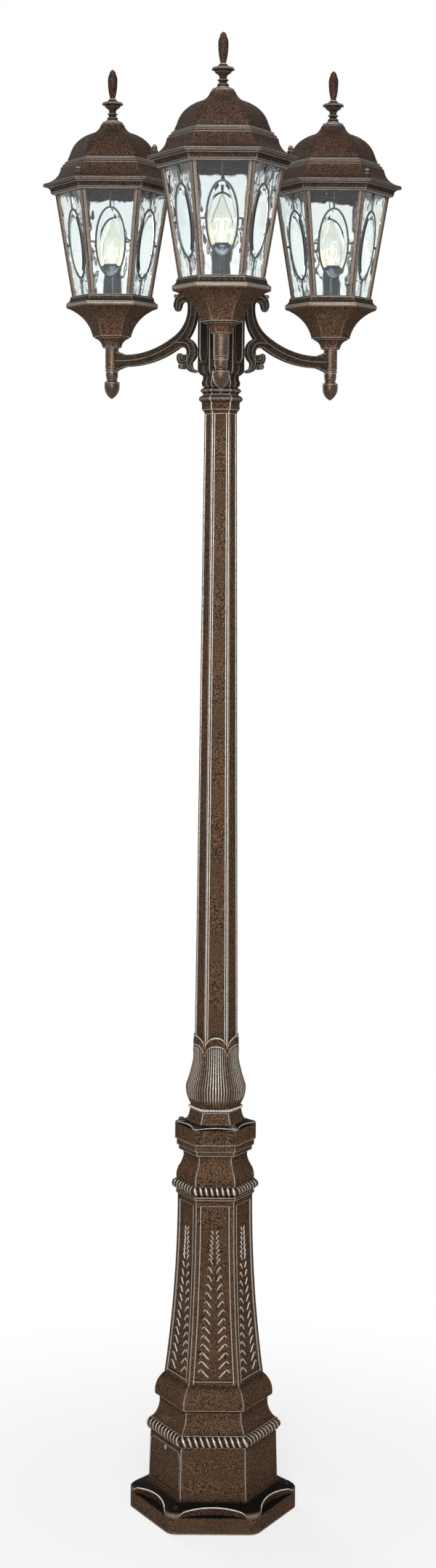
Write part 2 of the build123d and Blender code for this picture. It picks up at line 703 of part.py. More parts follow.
def hub_cap():
    apothem = HUB_APOTHEM + HUB_CAP_OVERHANG
    bands = [
        (HUB_CAP_EDGE_H, apothem, 0),
        (HUB_CAP_CROWN_H, HUB_CAP_CROWN_APOTHEM, HUB_CAP_CROWN_BULGE),
    ]
    spigot = drum(HUB_BORE_R - FIT, HUB_TOP_Z - HUB_CAP_SPIGOT_L, HUB_CAP_SPIGOT_L)
    return hex_casting(apothem, HUB_TOP_Z, bands) + spigot


def walk(start, heading, runs):
    """Stations along a tangent chain of straights and arcs in the X-Z plane.

    A run is (radius, turn, half depth at its end), or (0, length, half depth) for a straight;
    a positive turn is to the left of the way the chain runs.
    """
    x, z, half = start
    stations = [(x, z, heading, half)]
    for radius, amount, end_half in runs:
        first_half = half
        steps = ceil(abs(amount) / STROKE_TURN) if radius else 1
        turn = amount / steps if radius else 0
        chord = 2 * radius * sin(radians(abs(turn) / 2)) if radius else amount
        for step in range(1, steps + 1):
            course = radians(heading + turn / 2)
            x, z, heading = x + chord * cos(course), z + chord * sin(course), heading + turn
            half = first_half + (end_half - first_half) * step / steps
            stations.append((x, z, heading, half))
    return stations


def stroke(stations):
    """Tapered bar with a ridge along each flank: six-cornered sections joined by flat facets."""
    rings = []
    for x, z, heading, half in stations:
        slim = min(1.0, half / BRANCH_HALF_DEPTH)
        ridge, edge = Vector(0, ARM_HALF_T * slim, 0), Vector(0, ARM_EDGE_HALF_T * slim, 0)
        middle = Vector(x, 0, z)
        out = Vector(-sin(radians(heading)), 0, cos(radians(heading))) * half
        rings.append((middle + out + edge, middle + ridge, middle - out + edge,
                      middle - out - edge, middle - ridge, middle + out - edge))
    return skin(rings)


def eye(x, z, radius):
    """Small round eye nested against a scroll."""
    return Pos(x, 0, z) * Rot(X=90) * shank(radius, -EYE_HALF_T, 2 * EYE_HALF_T)


def bar_stroke():
    """Bar from the boss to the hub that rises into the upper volute."""
    swing = BAR_BEND_R * sin(radians(BAR_BEND_TURN)) + BRANCH_BEND_R * (1 - sin(radians(BAR_BEND_TURN)))
    straight = ARM_REACH - swing - HUB_APOTHEM - BRANCH_STAND_OFF
    runs = [
        (0, straight, BAR_WAIST_HALF_DEPTH),
        (BAR_BEND_R, -BAR_BEND_TURN, BAR_HALF_DEPTH),
        (BRANCH_BEND_R, BAR_BEND_TURN - 90, BRANCH_HALF_DEPTH),
        (0, BRANCH_STRAIGHT, BRANCH_HALF_DEPTH),
        (VOLUTE_R, -90, VOLUTE_HALF_DEPTH),
        (VOLUTE_R, 90 - VOLUTE_TURN, TIP_HALF_DEPTH),
    ]
    return stroke(walk((ARM_REACH, ARM_Z, BOSS_DROP), 180, runs))


def scroll_centre():
    return HUB_APOTHEM + SCROLL_STAND_OFF, ARM_Z + SCROLL_RISE


def scroll_stroke():
    """Lower scroll that leaves the bar towards the hub and curls back under it."""
    x, z = scroll_centre()
    runs = [
        (0, SCROLL_R, SCROLL_ROOT_HALF_DEPTH),
        (SCROLL_R, 90, SCROLL_HALF_DEPTH),
        (SCROLL_R, 90, SCROLL_NECK_HALF_DEPTH),
        (SCROLL_CURL_R, SCROLL_CURL_TURN, SCROLL_END_HALF_DEPTH),
    ]
    return stroke(walk((x + SCROLL_R, z + SCROLL_R, SCROLL_ROOT_HALF_DEPTH), 180, runs))


def leaf_stroke():
    """Leaf that runs on from the lower scroll and turns its tip to the hub."""
    x, z = scroll_centre()
    runs = [
        (0, LEAF_BEND_R, LEAF_HALF_DEPTH),
        (LEAF_BEND_R, -90, LEAF_NECK_HALF_DEPTH),
        (0, LEAF_TIP_L, TIP_HALF_DEPTH),
    ]
    return stroke(walk((x - SCROLL_R + LEAF_HALF_DEPTH, z - LEAF_ROOT_DROP, LEAF_ROOT_HALF_DEPTH), 270, runs))


def arm():
    """Scrolled arm with two pads on the hub and a boss for the lantern's stem."""
    x, z = scroll_centre()
    volute_x = HUB_APOTHEM + BRANCH_STAND_OFF + VOLUTE_R
    rise = BAR_BEND_R * (1 - cos(radians(BAR_BEND_TURN))) + BRANCH_BEND_R * cos(radians(BAR_BEND_TURN))
    volute_z = ARM_Z + rise + BRANCH_STRAIGHT
    shoulder = (VOLUTE_R + VOLUTE_HALF_DEPTH - EYE_SINK) * cos(radians(45))
    body = bar_stroke() + scroll_stroke() + leaf_stroke()
    body += eye(volute_x + shoulder, volute_z + shoulder, UPPER_EYE_R)
    body += eye(x + LOWER_EYE_R - EYE_SINK, z - SCROLL_R - SCROLL_CURL_R, LOWER_EYE_R)
    face = HUB_APOTHEM - HUB_PANEL_DEPTH
    reach = BRANCH_STAND_OFF + HUB_PANEL_DEPTH - PAD_SINK
    pad = Rot(Y=90) * shank(PAD_R, 0, reach)
    for pad_z in pad_heights():
        body += Pos(face, 0, pad_z) * pad
    body += Pos(ARM_REACH, 0, 0) * drum(BOSS_R, ARM_Z - BOSS_DROP, BOSS_H)
    return body - Pos(ARM_REACH, 0, 0) * shank(STEM_R + FIT, ARM_Z - BOSS_DROP, BOSS_H)


def at_lantern(shape):
    """A piece of the front lantern, moved out from its own axis to the end of its arm."""
    return Pos(ARM_REACH, 0, 0) * shape


def acorn():
    """Acorn finial screwed up the stem under the arm's boss."""
    top = ARM_Z - BOSS_DROP
    bands = [
        (ACORN_BELLY_H, ACORN_R, ACORN_BELLY_BULGE),
        (ACORN_SHOULDER_H, ACORN_NECK_R, ACORN_SHOULDER_BULGE),
        (ACORN_NECK_H, ACORN_NECK_R, 0),
        (0, ACORN_RING_R, 0),
        (ACORN_RING_H, ACORN_RING_R, 0),
    ]
    body = turned(ACORN_TIP_R, top - bands_height(bands), bands)
    return body - shank(STEM_R + FIT, top - STEM_GRIP - FIT, STEM_GRIP + FIT)


def stem():
    """Threaded stem that clamps acorn, arm, cup and lampholder, open inside for the wires."""
    foot = ARM_Z - BOSS_DROP - STEM_GRIP
    length = HOLDER_Z + STEM_GRIP - foot
    return shank(STEM_R, foot, length) - shank(STEM_BORE_R, foot, length)


def cup():
    """Hexagonal cup under the cage, open at the top."""
    bands = [
        (CUP_FOOT_H, CUP_STEP_APOTHEM, -CUP_FOOT_HOLLOW),
        (CUP_STEP_H, CUP_BOWL_APOTHEM, 0),
        (CUP_BOWL_H, CUP_LIP_APOTHEM, -CUP_BOWL_HOLLOW),
        (CUP_RIM_H - CUP_RIM_EDGE_H, CUP_RIM_APOTHEM, CUP_RIM_BULGE),
        (CUP_RIM_EDGE_H, CUP_RIM_APOTHEM, 0),
    ]
    floor_z = BOSS_TOP_Z + CUP_FOOT_H + CUP_STEP_H + CUP_FLOOR
    bowl_bands = [
        (CUP_TOP_Z - CUP_RIM_H - floor_z, CUP_LIP_APOTHEM - 2 * CUP_WALL, -CUP_BOWL_HOLLOW),
        (CUP_RIM_H, CUP_LIP_APOTHEM - 2 * CUP_WALL, 0),
    ]
    body = hex_casting(CUP_FOOT_APOTHEM, BOSS_TOP_Z, bands)
    body -= hex_casting(CUP_BOWL_APOTHEM - CUP_WALL, floor_z, bowl_bands)
    return body - shank(STEM_R + FIT, BOSS_TOP_Z, CUP_TOP_Z)


def rib_section(apothem, z):
    """Angle section of a corner rib at one height."""
    corner = Vector(apothem / COS30, 0, z)
    inner = Vector((apothem - RIB_T) / COS30, 0, z)
    along = Vector(-sin(radians(30)), cos(radians(30)), 0) * RIB_W
    depth = Vector(-cos(radians(30)), -sin(radians(30)), 0) * RIB_T
    flip = Vector(along.X, -along.Y, 0)
    flip_depth = Vector(depth.X, -depth.Y, 0)
    return (corner, corner + along, corner + along + depth, inner, corner + flip + flip_depth, corner + flip)


def cage():
    """Glazing cage: sill ring, six leaning corner ribs and cornice ring."""
    sill = hex_casting(CUP_RIM_APOTHEM, CUP_TOP_Z, [(CAGE_SILL_H, CAGE_SILL_APOTHEM, 0)])
    body = sill - hex_prism(CAGE_SILL_OPENING, CUP_TOP_Z, CAGE_SILL_H)
    cornice = hex_casting(CORNICE_APOTHEM, CORNICE_Z, [(CORNICE_H, CORNICE_TOP_APOTHEM, -CORNICE_HOLLOW)])
    cornice -= hex_prism(CORNICE_OPENING, CORNICE_Z, CORNICE_H)
    body += cornice
    rib = skin([rib_section(RIB_FOOT_APOTHEM, SILL_TOP_Z), rib_section(RIB_HEAD_APOTHEM, CORNICE_Z)])
    return body + [Rot(Z=turn) * rib for turn in CORNER_TURNS]


def pane_lean():
    """Angle by which the panes' outward normals look down."""
    return -degrees(atan2(RIB_HEAD_APOTHEM - RIB_FOOT_APOTHEM, RIB_H))


def pane_plane(turn):
    """Outer face of a pane, centred at half height behind the ribs."""
    apothem = (RIB_FOOT_APOTHEM + RIB_HEAD_APOTHEM) / 2 - RIB_T - FIT
    return face_plane(turn, apothem, SILL_TOP_Z + RIB_H / 2, pane_lean())


def pane_half_size():
    """Half widths of a pane at foot and head, and half its height along the slope."""
    setback = RIB_T + FIT + PANE_T / cos(radians(pane_lean()))
    foot = (RIB_FOOT_APOTHEM - setback) * TAN30 - PANE_MITRE
    head = (RIB_HEAD_APOTHEM - setback) * TAN30 - PANE_MITRE
    half = (RIB_H / 2 - FIT) / cos(radians(pane_lean())) - PANE_T * abs(tan(radians(pane_lean())))
    return foot, head, half


def oval_ring(width, height, z=0):
    """Corners of an oval in straight facets."""
    turns = [radians(360 / OVAL_SIDES * (side + 0.5)) for side in range(OVAL_SIDES)]
    return [Vector(width / 2 * cos(turn), height / 2 * sin(turn), z) for turn in turns]


def oval(width, height):
    return make_face(Polyline(*oval_ring(width, height), close=True))


def panes():
    """Six panes, each with the opening for its oval."""
    foot, head, half = pane_half_size()
    outline = make_face(Polyline((-foot, -half), (foot, -half), (head, half), (-head, half), close=True))
    sheet = outline - oval(OVAL_W + 2 * FIT, OVAL_H + 2 * FIT)
    return Compound([extrude(pane_plane(turn) * sheet, -PANE_T) for turn in HEX_TURNS])


def ovals():
    """Six clear ovals with a bevelled outer edge."""
    lens = skin([
        oval_ring(OVAL_W, OVAL_H, -PANE_T),
        oval_ring(OVAL_W, OVAL_H),
        oval_ring(OVAL_W * OVAL_TABLE_SHARE, OVAL_H * OVAL_TABLE_SHARE, OVAL_RISE),
    ])
    return Compound([pane_plane(turn).location * lens for turn in HEX_TURNS])


def cames():
    """Lead strips on the outer face of each pane: a ring round the oval and four bars to the edges."""
    foot, head, half = pane_half_size()
    middle = (foot + head) / 2
    ring = oval(OVAL_W + 2 * CAME_W, OVAL_H + 2 * CAME_W) - oval(OVAL_W + FIT, OVAL_H + FIT)
    side_x, side_y = OVAL_W / 2, OVAL_H / 2
    bar = Rectangle(CAME_W, half - side_y, align=(Align.CENTER, Align.MIN))
    cross = Rectangle(middle - RIB_W / 2 - side_x, CAME_W, align=(Align.MIN, Align.CENTER))
    net = ring + Pos(0, side_y) * bar + Rot(Z=180) * Pos(0, side_y) * bar
    net += Pos(side_x, 0) * cross + Rot(Z=180) * Pos(side_x, 0) * cross
    strip = extrude(net - oval(OVAL_W + FIT, OVAL_H + FIT), CAME_T)
    return Compound([pane_plane(turn).location * strip for turn in HEX_TURNS])


def roof():
    """Hollow lantern roof: sweeping eave, step, dome and neck, with a boss for a nut on two corners."""
    bands = [
        (EAVE_H, EAVE_APOTHEM, 0),
        (ROOF_SWEEP_H, ROOF_SWEEP_APOTHEM, -ROOF_SWEEP_HOLLOW),
        (0, ROOF_STEP_APOTHEM, 0),
        (ROOF_STEP_H, ROOF_STEP_APOTHEM, 0),
        (ROOF_LEDGE_H, DOME_APOTHEM, 0),
        (DOME_H, DOME_TOP_APOTHEM, DOME_BULGE),
        (ROOF_FLARE_H, ROOF_NECK_APOTHEM, -ROOF_FLARE_HOLLOW),
        (ROOF_CAP_H, ROOF_CAP_APOTHEM, 0),
    ]
    skirt = ROOF_STEP_APOTHEM - ROOF_WALL
    dome_foot = EAVE_H + ROOF_SWEEP_H + ROOF_STEP_H + ROOF_LEDGE_H
    hollow_bands = [
        (EAVE_H + ROOF_SWEEP_H, skirt, 0),
        (dome_foot - EAVE_H - ROOF_SWEEP_H, DOME_APOTHEM - ROOF_WALL, 0),
        (DOME_H - ROOF_WALL, DOME_TOP_APOTHEM - ROOF_WALL, DOME_BULGE),
    ]
    top = ROOF_Z + bands_height(bands)
    body = hex_casting(EAVE_APOTHEM, ROOF_Z, bands)
    body += around(ROOF_NUT_TURNS, ROOF_NUT_RADIUS, shank(ROOF_BOSS_R, ROOF_Z, ROOF_BOSS_H))
    body -= hex_casting(skirt + EAVE_H, ROOF_Z, hollow_bands)
    return body - drum(FINIAL_STUD_R + SCREW_GAP, top - FINIAL_STUD_L - FIT, 2 * FINIAL_STUD_L)


ROOF_TOP_Z = ROOF_Z + EAVE_H + ROOF_SWEEP_H + ROOF_STEP_H + ROOF_LEDGE_H + DOME_H + ROOF_FLARE_H + ROOF_CAP_H


def roof_finial():
    """Turned finial with a disc and a pointed bud, screwed into the roof's neck."""
    bands = [
        (FINIAL_STUD_L, FINIAL_STUD_R, 0),
        (0, FINIAL_RING_R, 0),
        (FINIAL_RING_H, FINIAL_RING_R, 0),
        (FINIAL_WAIST_H, FINIAL_WAIST_R, 0),
        (FINIAL_DISC_RISE, FINIAL_DISC_R, 0),
        (FINIAL_DISC_FALL, FINIAL_BUD_FOOT_R, -FINIAL_DISC_HOLLOW),
        (FINIAL_BUD_BELLY_H, FINIAL_BUD_R, 0),
        (FINIAL_BUD_TIP_H, FINIAL_TIP_R, FINIAL_BUD_BULGE),
    ]
    return turned(FINIAL_STUD_R, ROOF_TOP_Z - FINIAL_STUD_L, bands)


def roof_nuts():
    """Two cap nuts that hold the roof to the cage, each on its boss."""
    bands = [(ROOF_NUT_H, ROOF_NUT_R * COS30, 0), (ROOF_NUT_CROWN_H, ROOF_NUT_TIP_R, 0)]
    one = hex_casting(ROOF_NUT_R * COS30, ROOF_Z + ROOF_BOSS_H, bands)
    return Compound(around(ROOF_NUT_TURNS, ROOF_NUT_RADIUS, one))


def lampholder():
    """Lampholder on the stem with an open screw socket."""
    socket_r = LAMP_BASE_R / cos(radians(180 / ROUND_SIDES)) + FIT
    body = drum(HOLDER_R, HOLDER_Z, HOLDER_H) - drum(socket_r, SOCKET_TOP_Z - SOCKET_DEPTH, SOCKET_DEPTH)
    return body - shank(STEM_R + FIT, HOLDER_Z, STEM_GRIP + FIT)


def lamp():
    """Candle lamp with a pointed tip, screwed into the lampholder."""
    bands = [
        (LAMP_BASE_L, LAMP_BASE_R, 0),
        (FIT, LAMP_BASE_R, 0),
        (LAMP_BELLY_H, LAMP_R, LAMP_BELLY_BULGE),
        (LAMP_H - LAMP_BELLY_H, LAMP_TIP_R, LAMP_TIP_BULGE),
    ]
    return turned(LAMP_BASE_R, SOCKET_TOP_Z - LAMP_BASE_L, bands)


def placed(shape, turn=0):
    return Rot(Z=FRONT_TURN + turn) * shape


def main():
    post = {
        "pedestal": pedestal(),
        "access_door": access_door(),
        "door_screw": door_screw(),
        "column": column(),
        "collar_bolts": collar_bolts(),
        "hub": hub(),
        "hub_cap": hub_cap(),
    }
    lantern = {
        "arm": arm(),
        "cup": at_lantern(cup()),
        "cage": at_lantern(cage()),
        "panes": at_lantern(panes()),
        "ovals": at_lantern(ovals()),
        "cames": at_lantern(cames()),
        "roof": at_lantern(roof()),
        "roof_finial": at_lantern(roof_finial()),
        "roof_nuts": at_lantern(roof_nuts()),
        "lamp": at_lantern(lamp()),
    }
    shared = {"acorns": acorn(), "stems": stem(), "lampholders": lampholder()}
    os.makedirs("parts", exist_ok=True)
    for name, shape in post.items():
        export_step(placed(shape), f"parts/{name}.step")
    for name, shape in lantern.items():
        for place, turn in LANTERN_TURNS.items():
            export_step(placed(shape, turn), f"parts/{name}_{place}.step")
    for name, shape in shared.items():
        copies = [placed(at_lantern(shape), turn) for turn in LANTERN_TURNS.values()]
        export_step(Compound(copies), f"parts/{name}.step")


main()
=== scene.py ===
"""Looks of the three-lantern garden post light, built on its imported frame. Lengths are in millimetres."""

import json
import math

import bmesh
import bpy
import numpy as np
from mathutils import Matrix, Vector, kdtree

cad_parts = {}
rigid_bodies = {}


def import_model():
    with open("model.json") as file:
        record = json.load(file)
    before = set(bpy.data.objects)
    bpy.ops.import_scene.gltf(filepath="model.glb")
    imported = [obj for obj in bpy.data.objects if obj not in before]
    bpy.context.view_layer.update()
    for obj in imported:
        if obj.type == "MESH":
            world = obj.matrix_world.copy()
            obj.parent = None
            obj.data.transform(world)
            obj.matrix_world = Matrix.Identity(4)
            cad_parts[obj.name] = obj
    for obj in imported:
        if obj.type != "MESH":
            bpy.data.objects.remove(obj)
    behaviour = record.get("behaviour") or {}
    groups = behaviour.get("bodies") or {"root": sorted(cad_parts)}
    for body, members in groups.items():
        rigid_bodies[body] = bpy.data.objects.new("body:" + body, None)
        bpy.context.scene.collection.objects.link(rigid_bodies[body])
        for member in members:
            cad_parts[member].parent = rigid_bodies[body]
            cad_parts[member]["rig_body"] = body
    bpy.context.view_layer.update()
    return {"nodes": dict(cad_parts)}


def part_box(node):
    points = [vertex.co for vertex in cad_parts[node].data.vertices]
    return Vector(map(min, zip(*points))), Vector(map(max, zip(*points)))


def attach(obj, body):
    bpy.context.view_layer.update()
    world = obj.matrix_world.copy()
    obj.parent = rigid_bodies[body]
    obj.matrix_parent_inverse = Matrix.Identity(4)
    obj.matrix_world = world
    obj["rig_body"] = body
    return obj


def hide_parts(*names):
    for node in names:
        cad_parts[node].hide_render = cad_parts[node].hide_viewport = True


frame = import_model()

MM = 0.001
TAN30 = math.tan(math.radians(30))
COS30 = math.cos(math.radians(30))
SIDES = range(6)
SIXTHS = range(0, 360, 60)

# Fineness of the meshes, with the share of the room beside a corner that its rounding may take
ARC_STEPS = 10
CORNER_STEPS = 4
EASE_STEPS = 5
EASE_TURN = math.radians(14)
EASE_ROOM = 0.3
GUARD = 0.9
GUARD_ROOM = 0.15
SIDE_GUARD_ROOM = 0.1
SHARP_TURN = math.radians(42)
ROUND = 56

# Radii of eased edges, from the large castings down to small turned pieces
PEDESTAL_EASE = 1.1
COLUMN_EASE = 0.9
LANTERN_EASE = 0.8
TURNED_EASE = 0.5
FINE_EASE = 0.4

# Bright edges, partly worn and partly painted highlight, and painted shade in hollows: turning of the
# surface, per millimetre, at which they start and are full, and the least squared length of an edge that it
# is worked out with
BEND_FROM = 0.12
BEND_FULL = 0.75
LEAST_SQUARE = 0.01

# Painted shade on the faces of a cut, and how near to an old point a point is taken to be the same one
CUT_SHADE = 0.3
SAME_SPOT = 0.01

# Lanterns round the post, and the turn that faces the front
PLACES = {"front": 0, "right": 120, "left": 240}
FRONT_TURN = -90
ARM_REACH = 212.7


def foot(node):
    """Height of a CAD node's lowest point."""
    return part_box(node)[0].z / MM


def head(node):
    """Height of a CAD node's highest point."""
    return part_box(node)[1].z / MM


def smooth(value, low, high):
    """Soft step from 0 at low to 1 at high."""
    share = np.clip((value - low) / (high - low), 0, 1)
    return share * share * (3 - 2 * share)


def direction(turn):
    """Level unit vector at a turn in degrees."""
    return np.array((math.cos(math.radians(turn)), math.sin(math.radians(turn)), 0.0))


UP = np.array((0.0, 0.0, 1.0))


class Form:
    """Points in millimetres, faces, and a brightness painted on each point: above zero bright metal, partly
    worn and partly painted highlight; below zero painted shade.
    """

    def __init__(self, points, faces, wear_and_painted_light=None):
        self.points = np.asarray(points, float)
        self.faces = faces
        self.wear_and_painted_light = np.zeros(len(self.points)) if wear_and_painted_light is None else np.asarray(wear_and_painted_light, float)

    def moved(self, matrix):
        spin = np.array(matrix.to_3x3())
        return Form(self.points @ spin.T + np.array(matrix.translation), self.faces, self.wear_and_painted_light)


def join(forms):
    """Several forms as one."""
    forms = list(forms)
    faces = []
    base = 0
    for form in forms:
        faces += [tuple(corner + base for corner in face) for face in form.faces]
        base += len(form.points)
    return Form(np.vstack([f.points for f in forms]), faces, np.concatenate([f.wear_and_painted_light for f in forms]))


def turn_about(turn):
    return Matrix.Rotation(math.radians(turn), 4, "Z")


def shift(x, y, z):
    return Matrix.Translation((x, y, z))


def around(form, turns):
    """Copies of a form turned round the upright axis."""
    return join(form.moved(turn_about(turn)) for turn in turns)


def at_lantern(form, place):
    """A form made round its own axis, moved to a lantern."""
    return form.moved(turn_about(PLACES[place]) @ shift(0, -ARM_REACH, 0))


def at_lanterns(form):
    return join(at_lantern(form, place) for place in PLACES)


def loft(rings, wear_and_painted_light=None, loop=False):
    """Skin through closed rings with equal counts, capped at both ends unless it is a loop."""
    count = len(rings[0])
    rows = len(rings)
    faces = []
    for row in range(rows if loop else rows - 1):
        low = row * count
        high = (row + 1) % rows * count
        for i in range(count):
            j = (i + 1) % count
            faces.append((low + i, low + j, high + j, high + i))
    if not loop:
        faces.append(tuple(range(count - 1, -1, -1)))
        faces.append(tuple(range((rows - 1) * count, rows * count)))
    return Form(np.vstack(rings), faces, None if wear_and_painted_light is None else np.concatenate(wear_and_painted_light))


def outline(across, z, bands):
    """Profile from a foot upwards; a band is (width at its end, rise, bulge)."""
    points = [np.array((across, z), float)]
    for end, rise, bulge in bands:
        start = points[-1]
        run = np.array((end, start[1] + rise)) - start
        out = np.array((run[1], -run[0])) / np.hypot(*run)
        steps = ARC_STEPS if bulge else 1
        for share in np.linspace(0, 1, steps + 1)[1:]:
            points.append(start + share * run + 4 * share * (1 - share) * bulge * out)
    return points


def eased(points, radius):
    """The same profile with rounded corners and a guard point beside each rounding."""
    out = [points[0]]
    for before, corner, after in zip(points, points[1:], points[2:]):
        came, goes = corner - before, after - corner
        room = min(np.hypot(*came), np.hypot(*goes))
        came, goes = came / np.hypot(*came), goes / np.hypot(*goes)
        turn = math.acos(np.clip(came @ goes, -1, 1))
        if turn < EASE_TURN:
            out.append(corner)
            continue
        reach = min(radius * math.tan(turn / 2), EASE_ROOM * room)
        guard = min(GUARD, GUARD_ROOM * room)
        out.append(corner - came * (reach + guard))
        for share in np.linspace(0, 1, EASE_STEPS):
            out.append(corner - came * reach * (1 - share) ** 2 + goes * reach * share ** 2)
        out.append(corner + goes * (reach + guard))
    out.append(points[-1])
    return out


def with_rows(profile, heights):
    """A rising profile with more points at the given heights."""
    across, z = np.array(profile).T
    added = [np.array((np.interp(height, z, across), height)) for height in heights]
    return sorted(list(profile) + added, key=lambda point: point[1])


def hexagon(apothem, z, radius, marks=()):
    """Hexagon with flats across Y and rounded corners.

    Marks are (distance from a side's middle, depth below the side), from the middle outwards.
    """
    half = apothem * TAN30
    reach = radius * TAN30
    run = [*marks, (half - reach - min(GUARD, SIDE_GUARD_ROOM * half), 0.0)]
    for step in range(CORNER_STEPS + 1):
        turn = math.radians(30 * step / CORNER_STEPS)
        run.append((half - reach + radius * math.sin(turn), radius * (1 - math.cos(turn))))
    side = [(-along, sunk) for along, sunk in reversed(run)] + run[:-1]
    points = []
    for k in SIDES:
        normal, tangent = direction(30 + 60 * k), direction(120 + 60 * k)
        points += [normal * (apothem - sunk) + tangent * along + UP * z for along, sunk in side]
    return np.array(points)


def casting(profile, radius):
    """Hexagonal casting through a profile, with one corner radius or one for each height."""
    corner = radius if callable(radius) else lambda z: radius
    return [hexagon(apothem, z, corner(z)) for apothem, z in profile]


def circle(radius, z, count=ROUND):
    turns = np.arange(count) * 2 * math.pi / count
    return np.column_stack((radius * np.cos(turns), radius * np.sin(turns), np.full(count, z)))


def turned(profile):
    """Solid of revolution round the upright axis."""
    return loft([circle(radius, z) for radius, z in profile])


def turning(radius, z, bands, ease):
    """Turned piece from a foot upwards, with eased corners."""
    return turned(eased(outline(radius, z, bands), ease))


def threaded(radius, depth, z, pitch, count):
    """Turned rod with a row of grooves for its thread."""
    return turned([(radius - depth * (k % 2), z + pitch * k) for k in range(count)])


def face_frame(turn, lean, apothem, z):
    """Frame on a face that looks up by its lean: X across, Y up the face, Z outwards."""
    out, across = direction(turn), direction(turn + 90)
    normal = out * math.cos(lean) + UP * math.sin(lean)
    up = UP * math.cos(lean) - out * math.sin(lean)
    rows = zip(np.column_stack((across, up, normal)), out * apothem + UP * z)
    return Matrix([[*row, at] for row, at in rows] + [[0, 0, 0, 1]])


def carved(form, cutter):
    """The form with a cutter taken out of it; its own points keep their painted marks and the cut's faces get
    painted shade.
    """
    body = placed("body", oriented_mesh("body", form))
    tool = placed("tool", oriented_mesh("tool", cutter))
    cut = body.modifiers.new("cut", "BOOLEAN")
    cut.operation = "DIFFERENCE"
    cut.solver = "EXACT"
    cut.object = tool
    depsgraph = bpy.context.evaluated_depsgraph_get()
    mesh = bpy.data.meshes.new_from_object(body.evaluated_get(depsgraph))
    points = [vertex.co / MM for vertex in mesh.vertices]
    known = kdtree.KDTree(len(form.points))
    for k, point in enumerate(form.points):
        known.insert(point, k)
    known.balance()
    wear_and_painted_light = []
    for point in points:
        _, k, gap = known.find(point)
        wear_and_painted_light.append(form.wear_and_painted_light[k] if gap < SAME_SPOT else -CUT_SHADE)
    for spent in (body, tool):
        bpy.data.objects.remove(spent)
    return Form(points, [tuple(p.vertices) for p in mesh.polygons], wear_and_painted_light)


def oriented_mesh(name, form):
    """Mesh of a form with its faces turned outwards."""
    mesh = bpy.data.meshes.new(name)
    mesh.from_pydata((form.points * MM).tolist(), [], form.faces)
    work = bmesh.new()
    work.from_mesh(mesh)
    bmesh.ops.recalc_face_normals(work, faces=work.faces)
    work.to_mesh(mesh)
    work.free()
    return mesh


def placed(name, data):
    """A new object in the scene."""
    thing = bpy.data.objects.new(name, data)
    bpy.context.scene.collection.objects.link(thing)
    return thing


def values_of(items, name, width, kind):
    """A value of every item of a mesh, one row for each."""
    values = np.empty(len(items) * width, kind)
    items.foreach_get(name, values)
    return values.reshape(-1, width)


def bends(mesh):
    """How sharply the surface turns outwards and inwards at each vertex, per millimetre."""
    count = len(mesh.vertices)
    places = values_of(mesh.vertices, "co", 3, np.float32) / MM
    normals = values_of(mesh.vertex_normals, "vector", 3, np.float32)
    one, two = values_of(mesh.edges, "vertices", 2, np.int32).T
    run = places[one] - places[two]
    square = np.maximum((run ** 2).sum(1), LEAST_SQUARE)
    outward, inward = np.zeros(count), np.zeros(count)
    for end, way in ((one, 2.0), (two, -2.0)):
        bend = way * (normals[end] * run).sum(1) / square
        np.maximum.at(outward, end, bend)
        np.minimum.at(inward, end, bend)
    return outward, -inward


def piece(name, form, finish, node, edge_brightening=0.85):
    """A visible piece that stands for a CAD node and rides on its body; the fifth argument is how bright its
    sharp edges are painted, partly worn and partly painted highlight.
    """
    mesh = oriented_mesh(name, form)
    mesh.polygons.foreach_set("use_smooth", np.ones(len(mesh.polygons), bool))
    mesh.set_sharp_from_angle(angle=SHARP_TURN)
    outward, inward = bends(mesh)
    # Sharp outward edges painted bright, partly worn and partly painted highlight; hollows and points marked
    # below zero get painted shade
    marks = {
        "wear_and_painted_light": np.maximum(form.wear_and_painted_light, edge_brightening * smooth(outward, BEND_FROM, BEND_FULL) * (form.wear_and_painted_light >= 0)),
        "hollow_shade": np.maximum(-form.wear_and_painted_light, smooth(inward, BEND_FROM, BEND_FULL)),
    }
    for mark, values in marks.items():
        layer = mesh.attributes.new(mark, "FLOAT", "POINT")
        layer.data.foreach_set("value", values.astype(np.float32))
    mesh.materials.append(finish)
    thing = placed(name, mesh)
    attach(thing, frame["nodes"][node]["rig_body"])
    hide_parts(node)


class Nodes:
    """A node tree, with short ways to add to it."""

    def __init__(self, tree):
        self.tree = tree

    def node(self, kind, inputs=None, **settings):
        made = self.tree.nodes.new(kind)
        for key, value in settings.items():
            setattr(made, key, value)
        for key, value in (inputs or {}).items():
            self.feed(made.inputs[key], value)
        return made

    def feed(self, socket, value):
        if isinstance(value, bpy.types.NodeSocket):
            self.tree.links.new(value, socket)
        else:
            socket.default_value = value

    def math(self, operation, one, two):
        return self.node("ShaderNodeMath", {0: one, 1: two}, operation=operation).outputs[0]

    def sees_background(self):
        """1 for camera, mirror and glass rays."""
        rays = self.node("ShaderNodeLightPath").outputs
        seen = self.math("MAXIMUM", rays["Is Camera Ray"], rays["Is Glossy Ray"])
        return self.math("MAXIMUM", seen, rays["Is Transmission Ray"])


